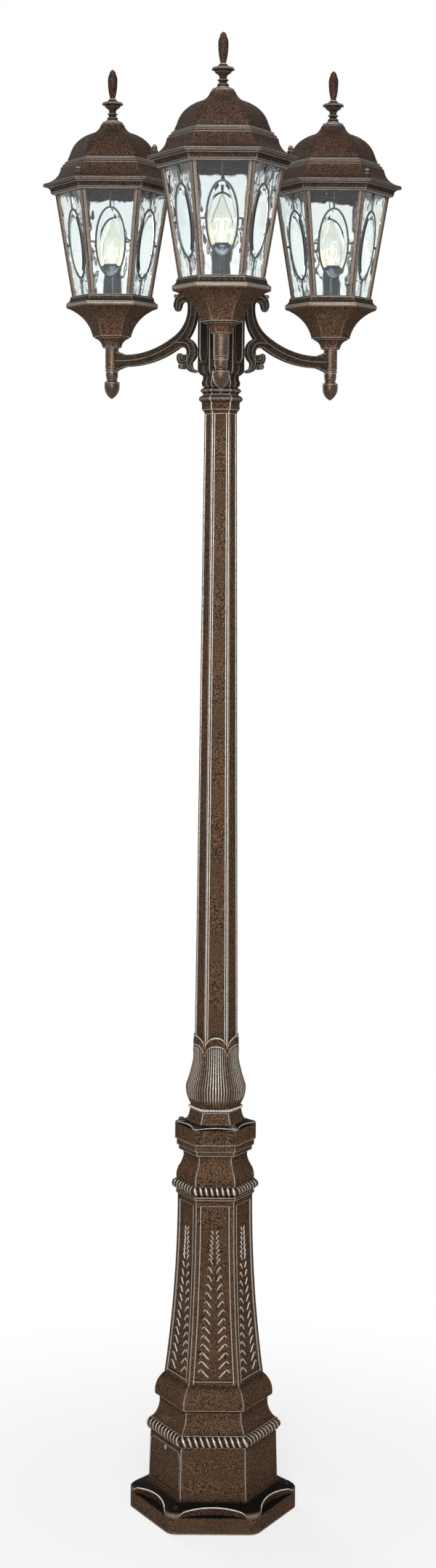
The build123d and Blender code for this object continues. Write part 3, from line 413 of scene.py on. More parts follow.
class Finish(Nodes):
    """A material under construction."""

    def __init__(self, name):
        self.material = bpy.data.materials.new(name)
        self.material.use_nodes = True
        super().__init__(self.material.node_tree)
        self.shader = self.tree.nodes["Principled BSDF"]
        self.place = self.node("ShaderNodeTexCoord").outputs["Object"]

    def set(self, **values):
        for key, value in values.items():
            self.feed(self.shader.inputs[key.replace("_", " ").title().replace("Ior", "IOR")], value)

    def noise(self, scale, detail=2.0, roughness=0.5, stretch=None):
        where = self.place
        if stretch:
            where = self.node("ShaderNodeMapping", {"Vector": where, "Scale": stretch}).outputs[0]
        inputs = {"Vector": where, "Scale": scale, "Detail": detail, "Roughness": roughness}
        return self.node("ShaderNodeTexNoise", inputs).outputs["Fac"]

    def step(self, value, low, high, start=0.0, end=1.0):
        inputs = {"Value": value, "From Min": low, "From Max": high, "To Min": start, "To Max": end}
        return self.node("ShaderNodeMapRange", inputs, interpolation_type="SMOOTHSTEP").outputs[0]

    def blend(self, share, one, two):
        return self.node("ShaderNodeMix", {0: share, 6: one, 7: two}, data_type="RGBA").outputs[2]

    def mark(self, name):
        return self.node("ShaderNodeAttribute", attribute_name=name).outputs["Fac"]

    def bump(self, height, distance, strength=1.0):
        inputs = {"Height": height, "Distance": distance, "Strength": strength}
        self.feed(self.shader.inputs["Normal"], self.node("ShaderNodeBump", inputs).outputs[0])


def colour(red, green, blue):
    return (red, green, blue, 1.0)


WHITE = colour(1.0, 1.0, 1.0)
# Colours of the bright metal, partly worn and partly painted highlight, and of painted shade
SILVER = colour(0.84, 0.79, 0.72)
SHADE_COLOUR = colour(0.004, 0.005, 0.0045)

# Metal: scales of its noise, per metre, the shares of clouds and of painted shade in hollows, and the metal
# and roughness of what is painted bright, partly worn and partly highlight
GRAIN = 1000.0
CLOUD = 14.0
BRIGHT_BREAKS = 430.0
CLOUD_SHARE = 0.15
HOLLOW_SHADE_SHARE = 0.85
BRIGHT_METAL = 0.3
BRIGHT_ROUGHNESS = 0.3


def bronze(name, shade, copper, roughness, top_shade_share, metal=0.08):
    """Hammered dark bronze: copper grain, painted shade in hollows and on up-facing surfaces, and bright
    edges that are partly worn and partly painted highlight.
    """
    finish = Finish(name)
    grain = finish.noise(GRAIN, 0.0, 0.5)
    fleck = finish.step(grain, 0.45, 0.64)
    cloud = finish.step(finish.noise(CLOUD, 3.0, 0.6), 0.35, 0.7, 0.0, CLOUD_SHARE)
    body = finish.blend(cloud, finish.blend(fleck, shade, copper), shade)
    facing = finish.node("ShaderNodeSeparateXYZ", {0: finish.node("ShaderNodeNewGeometry").outputs["Normal"]})
    # Painted shade on up-facing surfaces, in the share given by the fifth argument, and in hollows
    top_shade = finish.step(facing.outputs["Z"], 0.45, 0.9, 0.0, top_shade_share)
    painted_shade = finish.math("MAXIMUM", top_shade, finish.math("MULTIPLY", finish.mark("hollow_shade"), HOLLOW_SHADE_SHARE))
    body = finish.blend(painted_shade, body, SHADE_COLOUR)
    # Bright metal, partly worn and partly painted highlight, broken up by noise
    broken = finish.step(finish.noise(BRIGHT_BREAKS, 1.0, 0.5), 0.34, 0.54, 0.6, 1.0)
    bright = finish.math("MULTIPLY", finish.mark("wear_and_painted_light"), broken)
    finish.set(base_color=finish.blend(bright, body, SILVER), specular_ior_level=0.0)
    finish.set(metallic=finish.step(bright, 0.0, 1.0, metal, max(metal, BRIGHT_METAL)))
    finish.set(roughness=finish.step(bright, 0.0, 1.0, roughness, BRIGHT_ROUGHNESS))
    finish.bump(grain, 0.0008, 0.5)
    return finish.material


def glass(name, tint, edge, scale, depth):
    """Clear sheet with a slow swirl in its surface and tint."""
    finish = Finish(name)
    swirl = finish.noise(scale, 1.0, 0.4, (1.0, 1.0, 0.6))
    stain = finish.step(finish.noise(scale * 0.3, 2.0, 0.5), 0.35, 0.65)
    finish.set(base_color=finish.blend(stain, tint, edge), transmission_weight=1.0, roughness=0.0, ior=1.45)
    finish.bump(swirl, depth, 1.0)
    return finish.material


def lead(name):
    """Dark oxidised strip with a faint sheen."""
    finish = Finish(name)
    stain = finish.step(finish.noise(240.0, 3.0, 0.6), 0.35, 0.65)
    base = finish.blend(stain, colour(0.018, 0.021, 0.022), colour(0.055, 0.062, 0.064))
    # Lighter on its sharp edges, partly worn and partly painted highlight
    finish.set(base_color=finish.blend(finish.mark("wear_and_painted_light"), base, colour(0.12, 0.13, 0.13)))
    finish.set(metallic=0.6, roughness=finish.step(stain, 0.0, 1.0, 0.36, 0.5))
    finish.bump(stain, 0.0003, 0.4)
    return finish.material


def drawn(name, scale, stretch, spread, dark, light, metallic, roughness):
    """Drawn metal with faint streaks."""
    finish = Finish(name)
    streak = finish.noise(scale, 2.0, 0.6, (1.0, 1.0, stretch))
    streak = finish.step(streak, 0.5 - spread, 0.5 + spread)
    finish.set(base_color=finish.blend(streak, dark, light))
    finish.set(metallic=metallic, roughness=finish.step(streak, 0.0, 1.0, *roughness))
    return finish.material


def glowing(name, low, high, strength):
    """Light-giving wire, hotter in patches."""
    finish = Finish(name)
    heat = finish.step(finish.noise(300.0, 1.0, 0.5), 0.3, 0.7)
    warm = finish.blend(heat, low, high)
    finish.set(base_color=warm, roughness=0.5, emission_color=warm, emission_strength=strength)
    return finish.material


BRONZE = bronze("bronze", colour(0.008, 0.0065, 0.005), colour(0.250, 0.142, 0.084), 0.40, 0.95)
# Painted shade: a darker copy of the bronze, for the hub, the arms and the lantern sills and cornices
SHADED_BRONZE = bronze("shaded_bronze", colour(0.007, 0.0065, 0.0055), colour(0.130, 0.088, 0.060), 0.34, 0.6)
ROOF_BRONZE = bronze("roof_bronze", colour(0.013, 0.009, 0.007), colour(0.122, 0.072, 0.049), 0.34, 0.0, 0.18)
POLISHED_BRONZE = bronze("polished_bronze", colour(0.030, 0.022, 0.017), colour(0.170, 0.118, 0.085),
                         0.28, 0.0, 0.8)
FASTENER = bronze("fastener", colour(0.010, 0.009, 0.008), colour(0.10, 0.075, 0.055), 0.34, 0.0)
PANE_GLASS = glass("pane_glass", colour(0.945, 0.985, 0.945), colour(0.905, 0.955, 0.985), 66.0, 0.0021)
OVAL_GLASS = glass("oval_glass", colour(0.94, 0.98, 0.95), colour(0.88, 0.95, 0.96), 24.0, 0.0003)
LEAD = lead("came")
SLEEVE = drawn("holder", 260.0, 0.06, 0.15, colour(0.02, 0.028, 0.04), colour(0.06, 0.075, 0.095),
               0.4, (0.28, 0.42))
BULB_GLASS = glass("lamp_glass", colour(1.0, 0.987, 0.95), colour(1.0, 0.968, 0.89), 40.0, 0.0002)
BULB_BASE = drawn("lamp_base", 300.0, 8.0, 0.2, colour(0.32, 0.22, 0.09), colour(0.5, 0.36, 0.16),
                  0.9, (0.25, 0.38))
FILAMENT = glowing("lamp_filament", colour(1.0, 0.52, 0.14), colour(1.0, 0.78, 0.38), 4.0)

# Pedestal
FLANGE_APOTHEM = 126.0
FLANGE_ROLL_APOTHEM = 122.5
FLANGE_STEP_APOTHEM = 106.5
FLANGE_CORNER_R = 22.0
FLANGE_TOP = 43.0
CASTING_CORNER_R = 2.0
PLINTH_Z = 50.0
PLINTH_APOTHEM = 96.0
PLINTH_TOP_APOTHEM = 93.8
PLINTH_H = 83.0
PLINTH_TOP = PLINTH_Z + PLINTH_H
PLINTH_LEAN = math.atan((PLINTH_APOTHEM - PLINTH_TOP_APOTHEM) / PLINTH_H)
# Ropes: apothem, height, radius, spacing of the strands, and spacings that a strand runs in one turn
LOWER_ROPE = (92.4, 148.0, 10.0, 10.3, -2)
UPPER_ROPE = (57.6, 570.6, 8.0, 9.2, -1)
SHAFT_FOOT_APOTHEM = 73.5
SHAFT_TOP_APOTHEM = 55.3
SHAFT_Z = 241.0
SHAFT_TOP = 540.0
PANEL_FOOT = SHAFT_Z + 5.0
PANEL_HEAD = SHAFT_TOP + 4.0
PANEL_MARGIN = 8.2
PANEL_DEPTH = 2.0
PANEL_SLOPE = 1.5
PANEL_BEAD = 0.7
SCOOP_CHORD = 112.0
SCOOP_DEPTH = 15.0
SCOOP_FLOOR = 29.0
SCOOP_SIDES = 160
LIP_STEPS = 49
LIP_SIDES = 8
LIP_T = 1.2
LIP_TAPER = 0.6
# Painted highlight on the scoop and door lips
LIP_HIGHLIGHT = 0.6
FLANGE_SLOPE = [(FLANGE_STEP_APOTHEM, 42.6), (FLANGE_ROLL_APOTHEM, 37.6), (FLANGE_APOTHEM, 33.0)]
ANCHOR_RADIUS = 127.0
ANCHOR_HOLE_R = 5.5
ANCHOR_TURNS = (0, 120, 240)
ANCHOR_CUT_FOOT = -5.0
SEAT_TOP = head("pedestal")
# Bands up the outside: flange, plinth, rope seat and hollow, full moulding, shaft, rope seat, neck, collar
PEDESTAL_BANDS = [
    (FLANGE_APOTHEM, 34.0, 0), (FLANGE_ROLL_APOTHEM, 4.0, 0.8), (FLANGE_STEP_APOTHEM, 5.0, 0),
    (PLINTH_APOTHEM, 7.0, -1.2), (PLINTH_TOP_APOTHEM, PLINTH_H, 0), (93.0, 5.0, 0), (86.0, 3.0, 0),
    (86.0, 14.0, 0), (93.2, 3.0, 0), (80.6, 30.0, -3.0), (80.6, 7.0, 0), (87.5, 5.0, 0),
    (SHAFT_FOOT_APOTHEM, 39.0, 5.0), (SHAFT_TOP_APOTHEM, SHAFT_TOP - SHAFT_Z, -4.1),
    (SHAFT_TOP_APOTHEM, 14.0, 0), (57.9, 3.0, 0), (57.9, 5.0, 0), (54.0, 2.0, 0), (54.0, 12.0, 0),
    (57.2, 4.0, 0), (54.2, 23.0, 1.6), (47.1, 19.0, -1.0), (48.2, 8.7, -0.3),
    (54.1, 0.8, 0), (54.1, 7.5, 0), (57.2, 0.8, 0), (57.2, 9.2, 0),
]
PEDESTAL_INSIDE = [(20.0, SEAT_TOP), (20.0, 623.0), (39.2, 623.0), (46.3, SHAFT_TOP), (64.5, SHAFT_Z),
                   (84.8, PLINTH_TOP), (84.8, 0.0)]


def pedestal_corner(z):
    """Corner radius of the pedestal: wide on the flange, close above it."""
    return FLANGE_CORNER_R + (CASTING_CORNER_R - FLANGE_CORNER_R) * smooth(z, FLANGE_TOP, PLINTH_Z)


def panel_marks(apothem, radius, sunk, bead):
    """Marks across half a side for a sunk panel with a bead along its edge."""
    half = apothem * TAN30
    edge = half - max(PANEL_MARGIN, radius * TAN30 + PANEL_MARGIN / 2)
    bottom = [(0.5 * edge, sunk), (edge - 2.4, sunk), (edge - 1.5, sunk)]
    return bottom + [(edge - 0.5, -bead), (edge + 0.4, -bead), (edge + 1.2, 0.0), (edge + 2.0, 0.0)]


def pedestal_ring(apothem, z):
    """Section of the pedestal, with a sunk and beaded panel on each side of the shaft."""
    radius = pedestal_corner(z)
    opened = smooth(z, PANEL_FOOT, PANEL_FOOT + PANEL_SLOPE)
    closed = smooth(z, PANEL_HEAD - PANEL_SLOPE, PANEL_HEAD)
    beaded = smooth(z, SHAFT_Z, SHAFT_Z + 2) * (1 - smooth(z, PANEL_HEAD, PANEL_HEAD + 1))
    sunk, bead = PANEL_DEPTH * float(opened * (1 - closed)), PANEL_BEAD * float(beaded)
    return hexagon(apothem, z, radius, panel_marks(apothem, radius, sunk, bead))


def scoop_circle(apothem, chord, depth):
    """Radius of a scoop's arc, and how far out its centre lies."""
    radius = (chord ** 2 / 4 + depth ** 2) / (2 * depth)
    return radius, apothem - depth + radius


def scoops(apothem, chord, depth, bottom, top):
    """Cutters for the scoops in a flange's top edge."""
    radius, out = scoop_circle(apothem, chord, depth)
    one = loft([circle(radius, z, SCOOP_SIDES) for z in (bottom, top)]).moved(shift(0, -out, 0))
    return around(one, SIXTHS)


def scoop_lips(apothem, chord, depth, slope, thick):
    """Lip along each scoop's upper edge, painted bright as a highlight; slope gives (apothem, z) points of
    the flange's top.
    """
    radius, out = scoop_circle(apothem, chord, depth)
    swing = math.asin(chord / 2 / radius)
    across, heights = np.array(slope).T
    rings = []
    for share in np.linspace(-1, 1, LIP_STEPS):
        turn = math.pi / 2 + share * swing
        outward = np.array((math.cos(turn), math.sin(turn), 0.0))
        centre = outward * radius - np.array((0, out, 0))
        centre[2] = np.interp(-centre[1], across, heights)
        size = thick * (1 - LIP_TAPER * abs(share) ** 6)
        rings.append([centre + size * (math.cos(a) * outward + math.sin(a) * UP)
                      for a in np.linspace(0, 2 * math.pi, LIP_SIDES + 1)[:-1]])
    lip = loft(np.array(rings))
    lip.wear_and_painted_light[:] = LIP_HIGHLIGHT
    return around(lip, SIXTHS)


def hex_course(apothem, radius):
    """Length of a rounded hexagon's edge, and a function from distance to its point and outward vector."""
    straight = 2 * (apothem - radius) * TAN30
    arc = radius * math.pi / 3
    sixth = straight + arc

    def spot(distance):
        k, along = divmod(distance, sixth)
        turn = 30 + 60 * k
        if along <= straight:
            return direction(turn) * apothem + direction(turn + 90) * (along - straight / 2), direction(turn)
        out = direction(turn + math.degrees((along - straight) / radius))
        return direction(turn + 30) * (apothem - radius) / COS30 + out * radius, out

    return 6 * sixth, spot


ROPE_STEPS = 12
ROPE_SIDES = 24
ROPE_SWELL = 0.38
ROPE_PAINTED_LIGHT = 0.8


def rope(apothem, z, radius, spacing, lay):
    """Twisted moulding round the post, its strands spaced along its outer line, with bright crests that are
    partly worn and partly a painted highlight where they face out and up, and painted shade between strands.
    """
    length, spot = hex_course(apothem + radius / 2, radius)
    strands = round(length / spacing)
    rings, wear_and_painted_light = [], []
    turns = np.arange(ROPE_SIDES) * 2 * math.pi / ROPE_SIDES
    for step in range(strands * ROPE_STEPS):
        edge, out = spot(length * step / (strands * ROPE_STEPS))
        centre = edge - out * radius / 2
        phase = (step / ROPE_STEPS + lay * turns / (2 * math.pi)) % 1
        swell = np.sqrt(np.maximum(0, 1 - (2 * phase - 1) ** 2))
        reach = radius * (1 - ROPE_SWELL * (1 - swell))
        across, rise = reach * np.cos(turns), reach * np.sin(turns)
        rings.append(centre + UP * z + np.outer(across, out) - np.outer(rise, UP))
        # Crest bright where it faces out and up, partly worn and partly painted highlight; painted shade
        # between strands
        crest = ROPE_PAINTED_LIGHT * smooth(swell, 0.93, 1.0) * smooth(np.cos(turns + 0.3), 0.1, 0.8)
        wear_and_painted_light.append(crest - ROPE_PAINTED_LIGHT * smooth(1 - swell, 0.3, 0.7))
    return loft(rings, wear_and_painted_light, loop=True)


FERN_ROWS = 14
FERN_SPACING = 14.8
EAR_ROWS = 7
EAR_SPACING = 8.4
FERN_FOOT = 238.0
LEAF_STEPS = 16
LEAF_LIFT = 1.9
LEAF_KNEE_R = 2.2
# Leaflets of a fern: size at the foot, loss up to the ear, and loss with each row of the ear
LEAF_ROOT = (9.6, 6.0, 0.2)
LEAF_REACH = (18.6, 12.4, 0.0)
LEAF_RISE = (13.6, 3.2, 0.5)
LEAF_WIDTH = (1.5, 0.35, 0.0)
EAR_REACH_LOSS = 0.07


def leaflet(knee, tip, width, lift):
    """One hooked leaflet from (0, 0) by its knee to its drooping tip, as (across, up, out) on a panel."""
    path = eased([np.zeros(2), np.array(knee, float), np.array(tip, float)], LEAF_KNEE_R)
    reach = np.concatenate(([0], np.cumsum([np.hypot(*(b - a)) for a, b in zip(path, path[1:])])))
    shares = np.linspace(0, 1, LEAF_STEPS)
    middle = np.column_stack([np.interp(shares * reach[-1], reach, axis) for axis in np.array(path).T])
    course = np.gradient(middle, axis=0)
    course /= np.linalg.norm(course, axis=1)[:, None]
    turns = np.arange(8) * math.pi / 4
    rings, wear_and_painted_light = [], []
    for point, way, share in zip(middle, course, shares):
        size = width * math.sqrt(max(0.12, math.sin(math.pi * min(1.0, 0.12 + 0.84 * share))))
        spots = point + np.outer(size * np.cos(turns), (-way[1], way[0]))
        rings.append(np.column_stack((spots, lift * size / width * np.sin(turns))))
        # Bright along the leaflet's upper side, partly worn and partly painted highlight, with a painted
        # break in it two thirds along
        wear_and_painted_light.append(smooth(np.sin(turns), 0.2, 0.95) * (1 - 0.7 * math.exp(-((share - 0.68) / 0.07) ** 2)))
    return loft(rings, wear_and_painted_light)


def dwindled(size, share, ear):
    """A leaflet's size at a share of the fern's height and a row of its ear."""
    first, loss, step = size
    return first - loss * share - step * ear


def fern():
    """Fern of a panel in panel coordinates: pairs of hooked leaflets with a narrow ear on top."""
    sprigs = []
    for row in range(FERN_ROWS + EAR_ROWS):
        share = min(1.0, row / FERN_ROWS)
        ear = max(0, row - FERN_ROWS)
        z = FERN_FOOT + FERN_SPACING * min(row, FERN_ROWS) + EAR_SPACING * ear
        root, rise, width = (dwindled(size, share, ear) for size in (LEAF_ROOT, LEAF_RISE, LEAF_WIDTH))
        reach = dwindled(LEAF_REACH, share, ear) * (1 - EAR_REACH_LOSS * ear)
        for side in (-1, 1):
            hook = leaflet((side * 0.72 * reach, rise), (side * reach, 0.62 * rise), width, LEAF_LIFT)
            hook.points += (side * root, z, 0)
            if z > PANEL_FOOT:
                sprigs.append(hook)
    return join(sprigs)


def on_shaft(form, turn, profile):
    """A form in panel coordinates, laid on the floor of one of the shaft's panels."""
    across, z = np.array(profile).T
    apothems = np.interp(form.points[:, 1], z, across) - PANEL_DEPTH
    out = np.outer(apothems + form.points[:, 2], direction(turn))
    side = np.outer(form.points[:, 0], direction(turn + 90))
    return Form(out + side + np.outer(form.points[:, 1], UP), form.faces, form.wear_and_painted_light)


DOOR_TURN = 210
DOOR_W = 98.0
DOOR_H = 70.0
DOOR_T = 4.0
DOOR_CORNER_R = 9.0
DOOR_GAP = 1.3
DOOR_SEAT_FLOOR = -DOOR_T - 0.4
DOOR_SEAT_CUT = 6.0
DOOR_Z = PLINTH_Z + PLINTH_H / 2
DOOR_FRAME = face_frame(DOOR_TURN, PLINTH_LEAN, (PLINTH_APOTHEM + PLINTH_TOP_APOTHEM) / 2, DOOR_Z)
DOOR_SCREW_RISE = 30.5
DOOR_SCREW_R = 3.4
DOOR_SCREW_H = 1.6
HAND_HOLE_RIM = 9.0
HAND_HOLE_DEPTH = 20.0


def rounded_rectangle(width, height, radius, z):
    """Points of a rectangle with rounded corners."""
    points = []
    for k, (x, y) in enumerate(((1, 1), (-1, 1), (-1, -1), (1, -1))):
        for turn in np.linspace(90 * k, 90 * k + 90, 9):
            corner = np.array((x * (width / 2 - radius), y * (height / 2 - radius), z))
            points.append(corner + radius * direction(turn))
    return np.array(points)


def door_ring(grown, z, corner=DOOR_CORNER_R):
    """Outline of the door, made larger all round."""
    return rounded_rectangle(DOOR_W + 2 * grown, DOOR_H + 2 * grown, corner, z)


def door_plate():
    """Plate with an eased edge; a rim is (how far in, how far out of the face)."""
    rims = ((0.0, -DOOR_T), (0.0, -1.2), (0.4, -0.4), (1.2, 0.0), (2.0, 0.0), (8.0, 0.0))
    return loft([door_ring(-inset, z) for inset, z in rims])


def door_lip():
    """Thin edge round the door's seat, with a painted highlight along its top; a rim is (how far out, how
    high).
    """
    rims = ((0.0, -0.6), (0.0, 0.3), (0.3, 0.55), (0.8, 0.55), (1.2, -0.6))
    rings = []
    for out, z in rims:
        grown = DOOR_GAP + out
        rings.append(door_ring(grown, z, DOOR_CORNER_R + grown))
    lip = loft(rings, loop=True)
    lip.wear_and_painted_light[:] = LIP_HIGHLIGHT * smooth(lip.points[:, 1], 18.0, 30.0)
    return lip


def slotted_head(radius, height):
    """Low round screw head cut by one slot."""
    halves = []
    for way in (0, 180):
        rings = []
        for share, z in ((1.0, -0.6), (1.0, 0.45 * height), (0.86, 0.8 * height), (0.55, height)):
            arc = [direction(turn) * radius * share for turn in np.linspace(14, 166, 15)]
            rings.append(np.array(arc) + UP * z)
        halves.append(loft(rings).moved(turn_about(way)))
    halves.append(turned([(radius * 0.98, -0.6), (radius * 0.98, 0.25 * height)]))
    return join(halves)


pedestal_profile = eased(outline(FLANGE_APOTHEM, 0, PEDESTAL_BANDS), PEDESTAL_EASE)
shaft_rows = [PANEL_FOOT + rise for rise in (-0.9, 0.0, 0.5, 1.0, 1.5, 2.4)]
shaft_rows += [PANEL_HEAD - fall for fall in (2.4, 1.5, 1.0, 0.5, 0.0, -0.9)]
pedestal_profile = with_rows(pedestal_profile, shaft_rows + [3.0, SCOOP_FLOOR - 2.0])
shell = loft([pedestal_ring(apothem, z) for apothem, z in pedestal_profile + PEDESTAL_INSIDE], loop=True)
shell = carved(shell, scoops(FLANGE_APOTHEM, SCOOP_CHORD, SCOOP_DEPTH, SCOOP_FLOOR, PLINTH_Z + 10))
anchors = turned([(ANCHOR_HOLE_R, z) for z in (ANCHOR_CUT_FOOT, PLINTH_Z)]).moved(shift(ANCHOR_RADIUS, 0, 0))
shell = carved(shell, around(anchors, ANCHOR_TURNS))
seat = loft([door_ring(DOOR_GAP, z, DOOR_CORNER_R + DOOR_GAP) for z in (DOOR_SEAT_FLOOR, DOOR_SEAT_CUT)])
hand_hole = loft([door_ring(-HAND_HOLE_RIM, z) for z in (-HAND_HOLE_DEPTH, 0.0)])
for cutter in (seat, hand_hole):
    shell = carved(shell, cutter.moved(DOOR_FRAME))
lips = scoop_lips(FLANGE_APOTHEM, SCOOP_CHORD, SCOOP_DEPTH, FLANGE_SLOPE, LIP_T)
ferns = join(on_shaft(fern(), 30 + 60 * k, pedestal_profile) for k in SIDES)
screw = slotted_head(DOOR_SCREW_R, DOOR_SCREW_H).moved(DOOR_FRAME @ shift(0, DOOR_SCREW_RISE, 0))
piece("pedestal_casting", shell, BRONZE, "pedestal", 0.6)
piece("pedestal_scoop_lips", lips, BRONZE, "pedestal")
piece("pedestal_ropes", join([rope(*LOWER_ROPE), rope(*UPPER_ROPE)]), BRONZE, "pedestal", 0)
piece("pedestal_ferns", ferns, BRONZE, "pedestal", 0)
piece("door_plate", door_plate().moved(DOOR_FRAME), BRONZE, "access_door", 0.15)
piece("door_seat_lip", door_lip().moved(DOOR_FRAME), BRONZE, "pedestal", 0.1)
piece("door_screw_head", screw, FASTENER, "door_screw")

# Column
FOOT_APOTHEM = 60.5
FOOT_ROLL_APOTHEM = 59.6
FOOT_STEP_APOTHEM = 44.5
FOOT_LIP_T = 0.7
FOOT_CORNER_R = 8.0
FOOT_TOP = SEAT_TOP + 30.5
NECK_Z = SEAT_TOP + 33.0
NECK_CORNER_R = 1.4
FOOT_BANDS = [
    (FOOT_APOTHEM, 28.0, 0), (FOOT_ROLL_APOTHEM, 1.0, 0.3), (FOOT_STEP_APOTHEM, 1.5, 0),
    (43.3, 2.5, -0.6), (38.0, 18.0, -1.0), (37.0, 0.6, 0), (37.0, 8.0, 2.4), (34.0, 0.6, 0), (34.0, 60.0, 0),
]
# Chord and depth of the scoops in the foot flange
FOOT_SCOOP = (56.0, 7.0)
FOOT_SCOOP_FLOOR = SEAT_TOP + 27.0
FOOT_SLOPE = [(FOOT_STEP_APOTHEM, SEAT_TOP + 30.2), (FOOT_ROLL_APOTHEM, SEAT_TOP + 28.7),
              (FOOT_APOTHEM, SEAT_TOP + 27.6)]
COLLAR_BOLT_RADIUS = 58.0
COLLAR_BOLT_TURNS = (60, 180, 300)
COLLAR_BOLT_Z = SEAT_TOP + 29.0
BOLT_R = 6.4
BOLT_BANDS = [(BOLT_R, 1.4, 0), (5.2, 0.3, 0), (5.2, 2.2, 0), (0.6, 3.4, 1.1)]
BEAD_Z = 704.5
BEAD_APOTHEM = 39.0
BEAD_R = 2.7
BEAD_SPACING = 4.9
BEAD_CORNER_R = 8.0
TULIP_Z = 709.0
TULIP_TIP = 830.0
TULIP_VALLEY = 811.0
TULIP_FOOT_R = 42.0
TULIP_FOOT_INSIDE = 36.0
TULIP_HEAD_INSIDE = 30.0
TULIP_LIP = 2.2
PETAL_SWELL = 1.6
# Heights between which the raised rim of a petal starts
RIM_START = (770, 790)
TULIP_BANDS = [(50.7, 33.0, 3.0), (38.8, 44.0, -1.0), (37.2, 40.0, 0)]
REEDS = 11
REED_STEPS = 8
REED_DEPTH = 1.3
COLUMN_APOTHEM = 31.8
COLUMN_TOP_APOTHEM = 23.3
COLUMN_Z = 788.0
COLUMN_H = 1079.0
COLUMN_ROWS = 25
COLUMN_RIB_W = 4.2
COLUMN_RIB_DEPTH = 1.3
COLUMN_CORNER_R = 0.8
CAPITAL_CORNER_R = 1.0
CAPITAL_BANDS = [(27.3, 7.0, -1.0), (27.3, 12.0, 0), (27.3, 11.0, 4.4)]


def foot_corner(z):
    """Corner radius of the column's foot: wide on its flange, close on the neck."""
    return FOOT_CORNER_R + (NECK_CORNER_R - FOOT_CORNER_R) * smooth(z, FOOT_TOP, NECK_Z)


def column_foot():
    """Scooped foot flange with the neck and the core inside the tulip."""
    rising = eased(outline(FOOT_APOTHEM, SEAT_TOP, FOOT_BANDS), COLUMN_EASE)
    rising = with_rows(rising, [SEAT_TOP + 3.0, SEAT_TOP + 25.5])
    cutters = scoops(FOOT_APOTHEM, *FOOT_SCOOP, FOOT_SCOOP_FLOOR, SEAT_TOP + 45)
    return carved(loft(casting(rising, foot_corner)), cutters)


def beads():
    """Row of small beads round the foot of the tulip."""
    length, spot = hex_course(BEAD_APOTHEM, BEAD_CORNER_R)
    count = round(length / BEAD_SPACING)
    ball = [(max(0.05, BEAD_R * math.cos(a)), BEAD_R * math.sin(a)) for a in np.linspace(-1.5, 1.5, 9)]
    bead = loft([circle(radius, z, 12) for radius, z in ball])
    bead.wear_and_painted_light[:] = smooth(np.hypot(bead.points[:, 0], bead.points[:, 1]), 0.2, 2.0) * 0.8
    return join(bead.moved(shift(*spot(length * k / count)[0][:2], BEAD_Z)) for k in range(count))


def tulip():
    """Ring of reeded petals: the top edge follows the petal tips and valleys."""
    across, z_of = np.array(outline(TULIP_FOOT_R, TULIP_Z, TULIP_BANDS)).T
    count = 6 * REEDS * REED_STEPS
    turns = np.arange(count) * 360 / count
    lean = np.abs((turns % 60) - 30) / 30
    arch = np.power(np.maximum(0, 1 - lean ** 2.2), 0.72)
    top = TULIP_VALLEY + (TULIP_TIP - TULIP_VALLEY) * arch
    inner = TULIP_VALLEY - 14 + 16 * np.power(np.maximum(0, 1 - (lean / 0.93) ** 2.4), 0.6)
    crest = np.abs(np.sin(math.pi * REEDS * (turns % 60) / 60))
    out = np.column_stack((np.cos(np.radians(turns)), np.sin(np.radians(turns)), np.zeros(count)))
    # Painted highlight: reed crests brightest down the middle of each petal
    middle = 0.12 + 0.75 * (1 - lean ** 2) ** 1.5
    rings = [out * TULIP_FOOT_INSIDE + UP * TULIP_Z]
    wear_and_painted_light = [np.zeros(count)]
    for share in (*np.linspace(0, 0.79, 26), *np.linspace(0.8, 1, 36)):
        z = TULIP_Z + share * (top - TULIP_Z)
        radius = np.interp(z, z_of, across)
        reeded = smooth(z, TULIP_Z + 9, TULIP_Z + 15) * smooth(inner - z, 0.0, 4.0)
        rim = np.exp(-((top - z - 1.2) / 1.0) ** 2) + 0.8 * np.exp(-((z - inner - 1.0) / 0.9) ** 2)
        swell = PETAL_SWELL * (1 - lean ** 2) * smooth(z, TULIP_Z + 70, TULIP_TIP)
        raised = smooth(z, *RIM_START)
        radius = radius + swell + REED_DEPTH * (np.sqrt(crest) - 1) * reeded + 0.8 * rim * raised
        rings.append(out * radius[:, None] + np.outer(z, UP))
        # Bright reed crests and rims, partly worn and partly painted highlight; painted shade in the grooves
        # between reeds
        bright = middle * smooth(crest, 0.8, 1.0) * reeded + 0.9 * rim * raised
        wear_and_painted_light.append(np.clip(bright - 0.9 * smooth(1 - crest, 0.3, 0.8) * reeded, -1, 1))
    rings.append(out * (radius - TULIP_LIP)[:, None] + np.outer(top - 0.6, UP))
    rings.append(out * TULIP_HEAD_INSIDE + np.outer(top - 8.0, UP))
    wear_and_painted_light += [np.zeros(count), np.zeros(count)]
    return loft(rings, wear_and_painted_light)


def column_ring(apothem, z):
    """Section of the ribbed shaft: flat faces sunk between corner ribs."""
    half = apothem * TAN30
    edge = half - COLUMN_RIB_W
    sunk = [(along, COLUMN_RIB_DEPTH) for along in (0.4 * edge, edge - 1.8, edge - 1.0)]
    rib_marks = [(edge, 0.0), (edge + 0.5, 0.0), (edge + 1.0, 0.25), (edge + 1.8, 0.25)]
    return hexagon(apothem, z, COLUMN_CORNER_R, sunk + rib_marks)


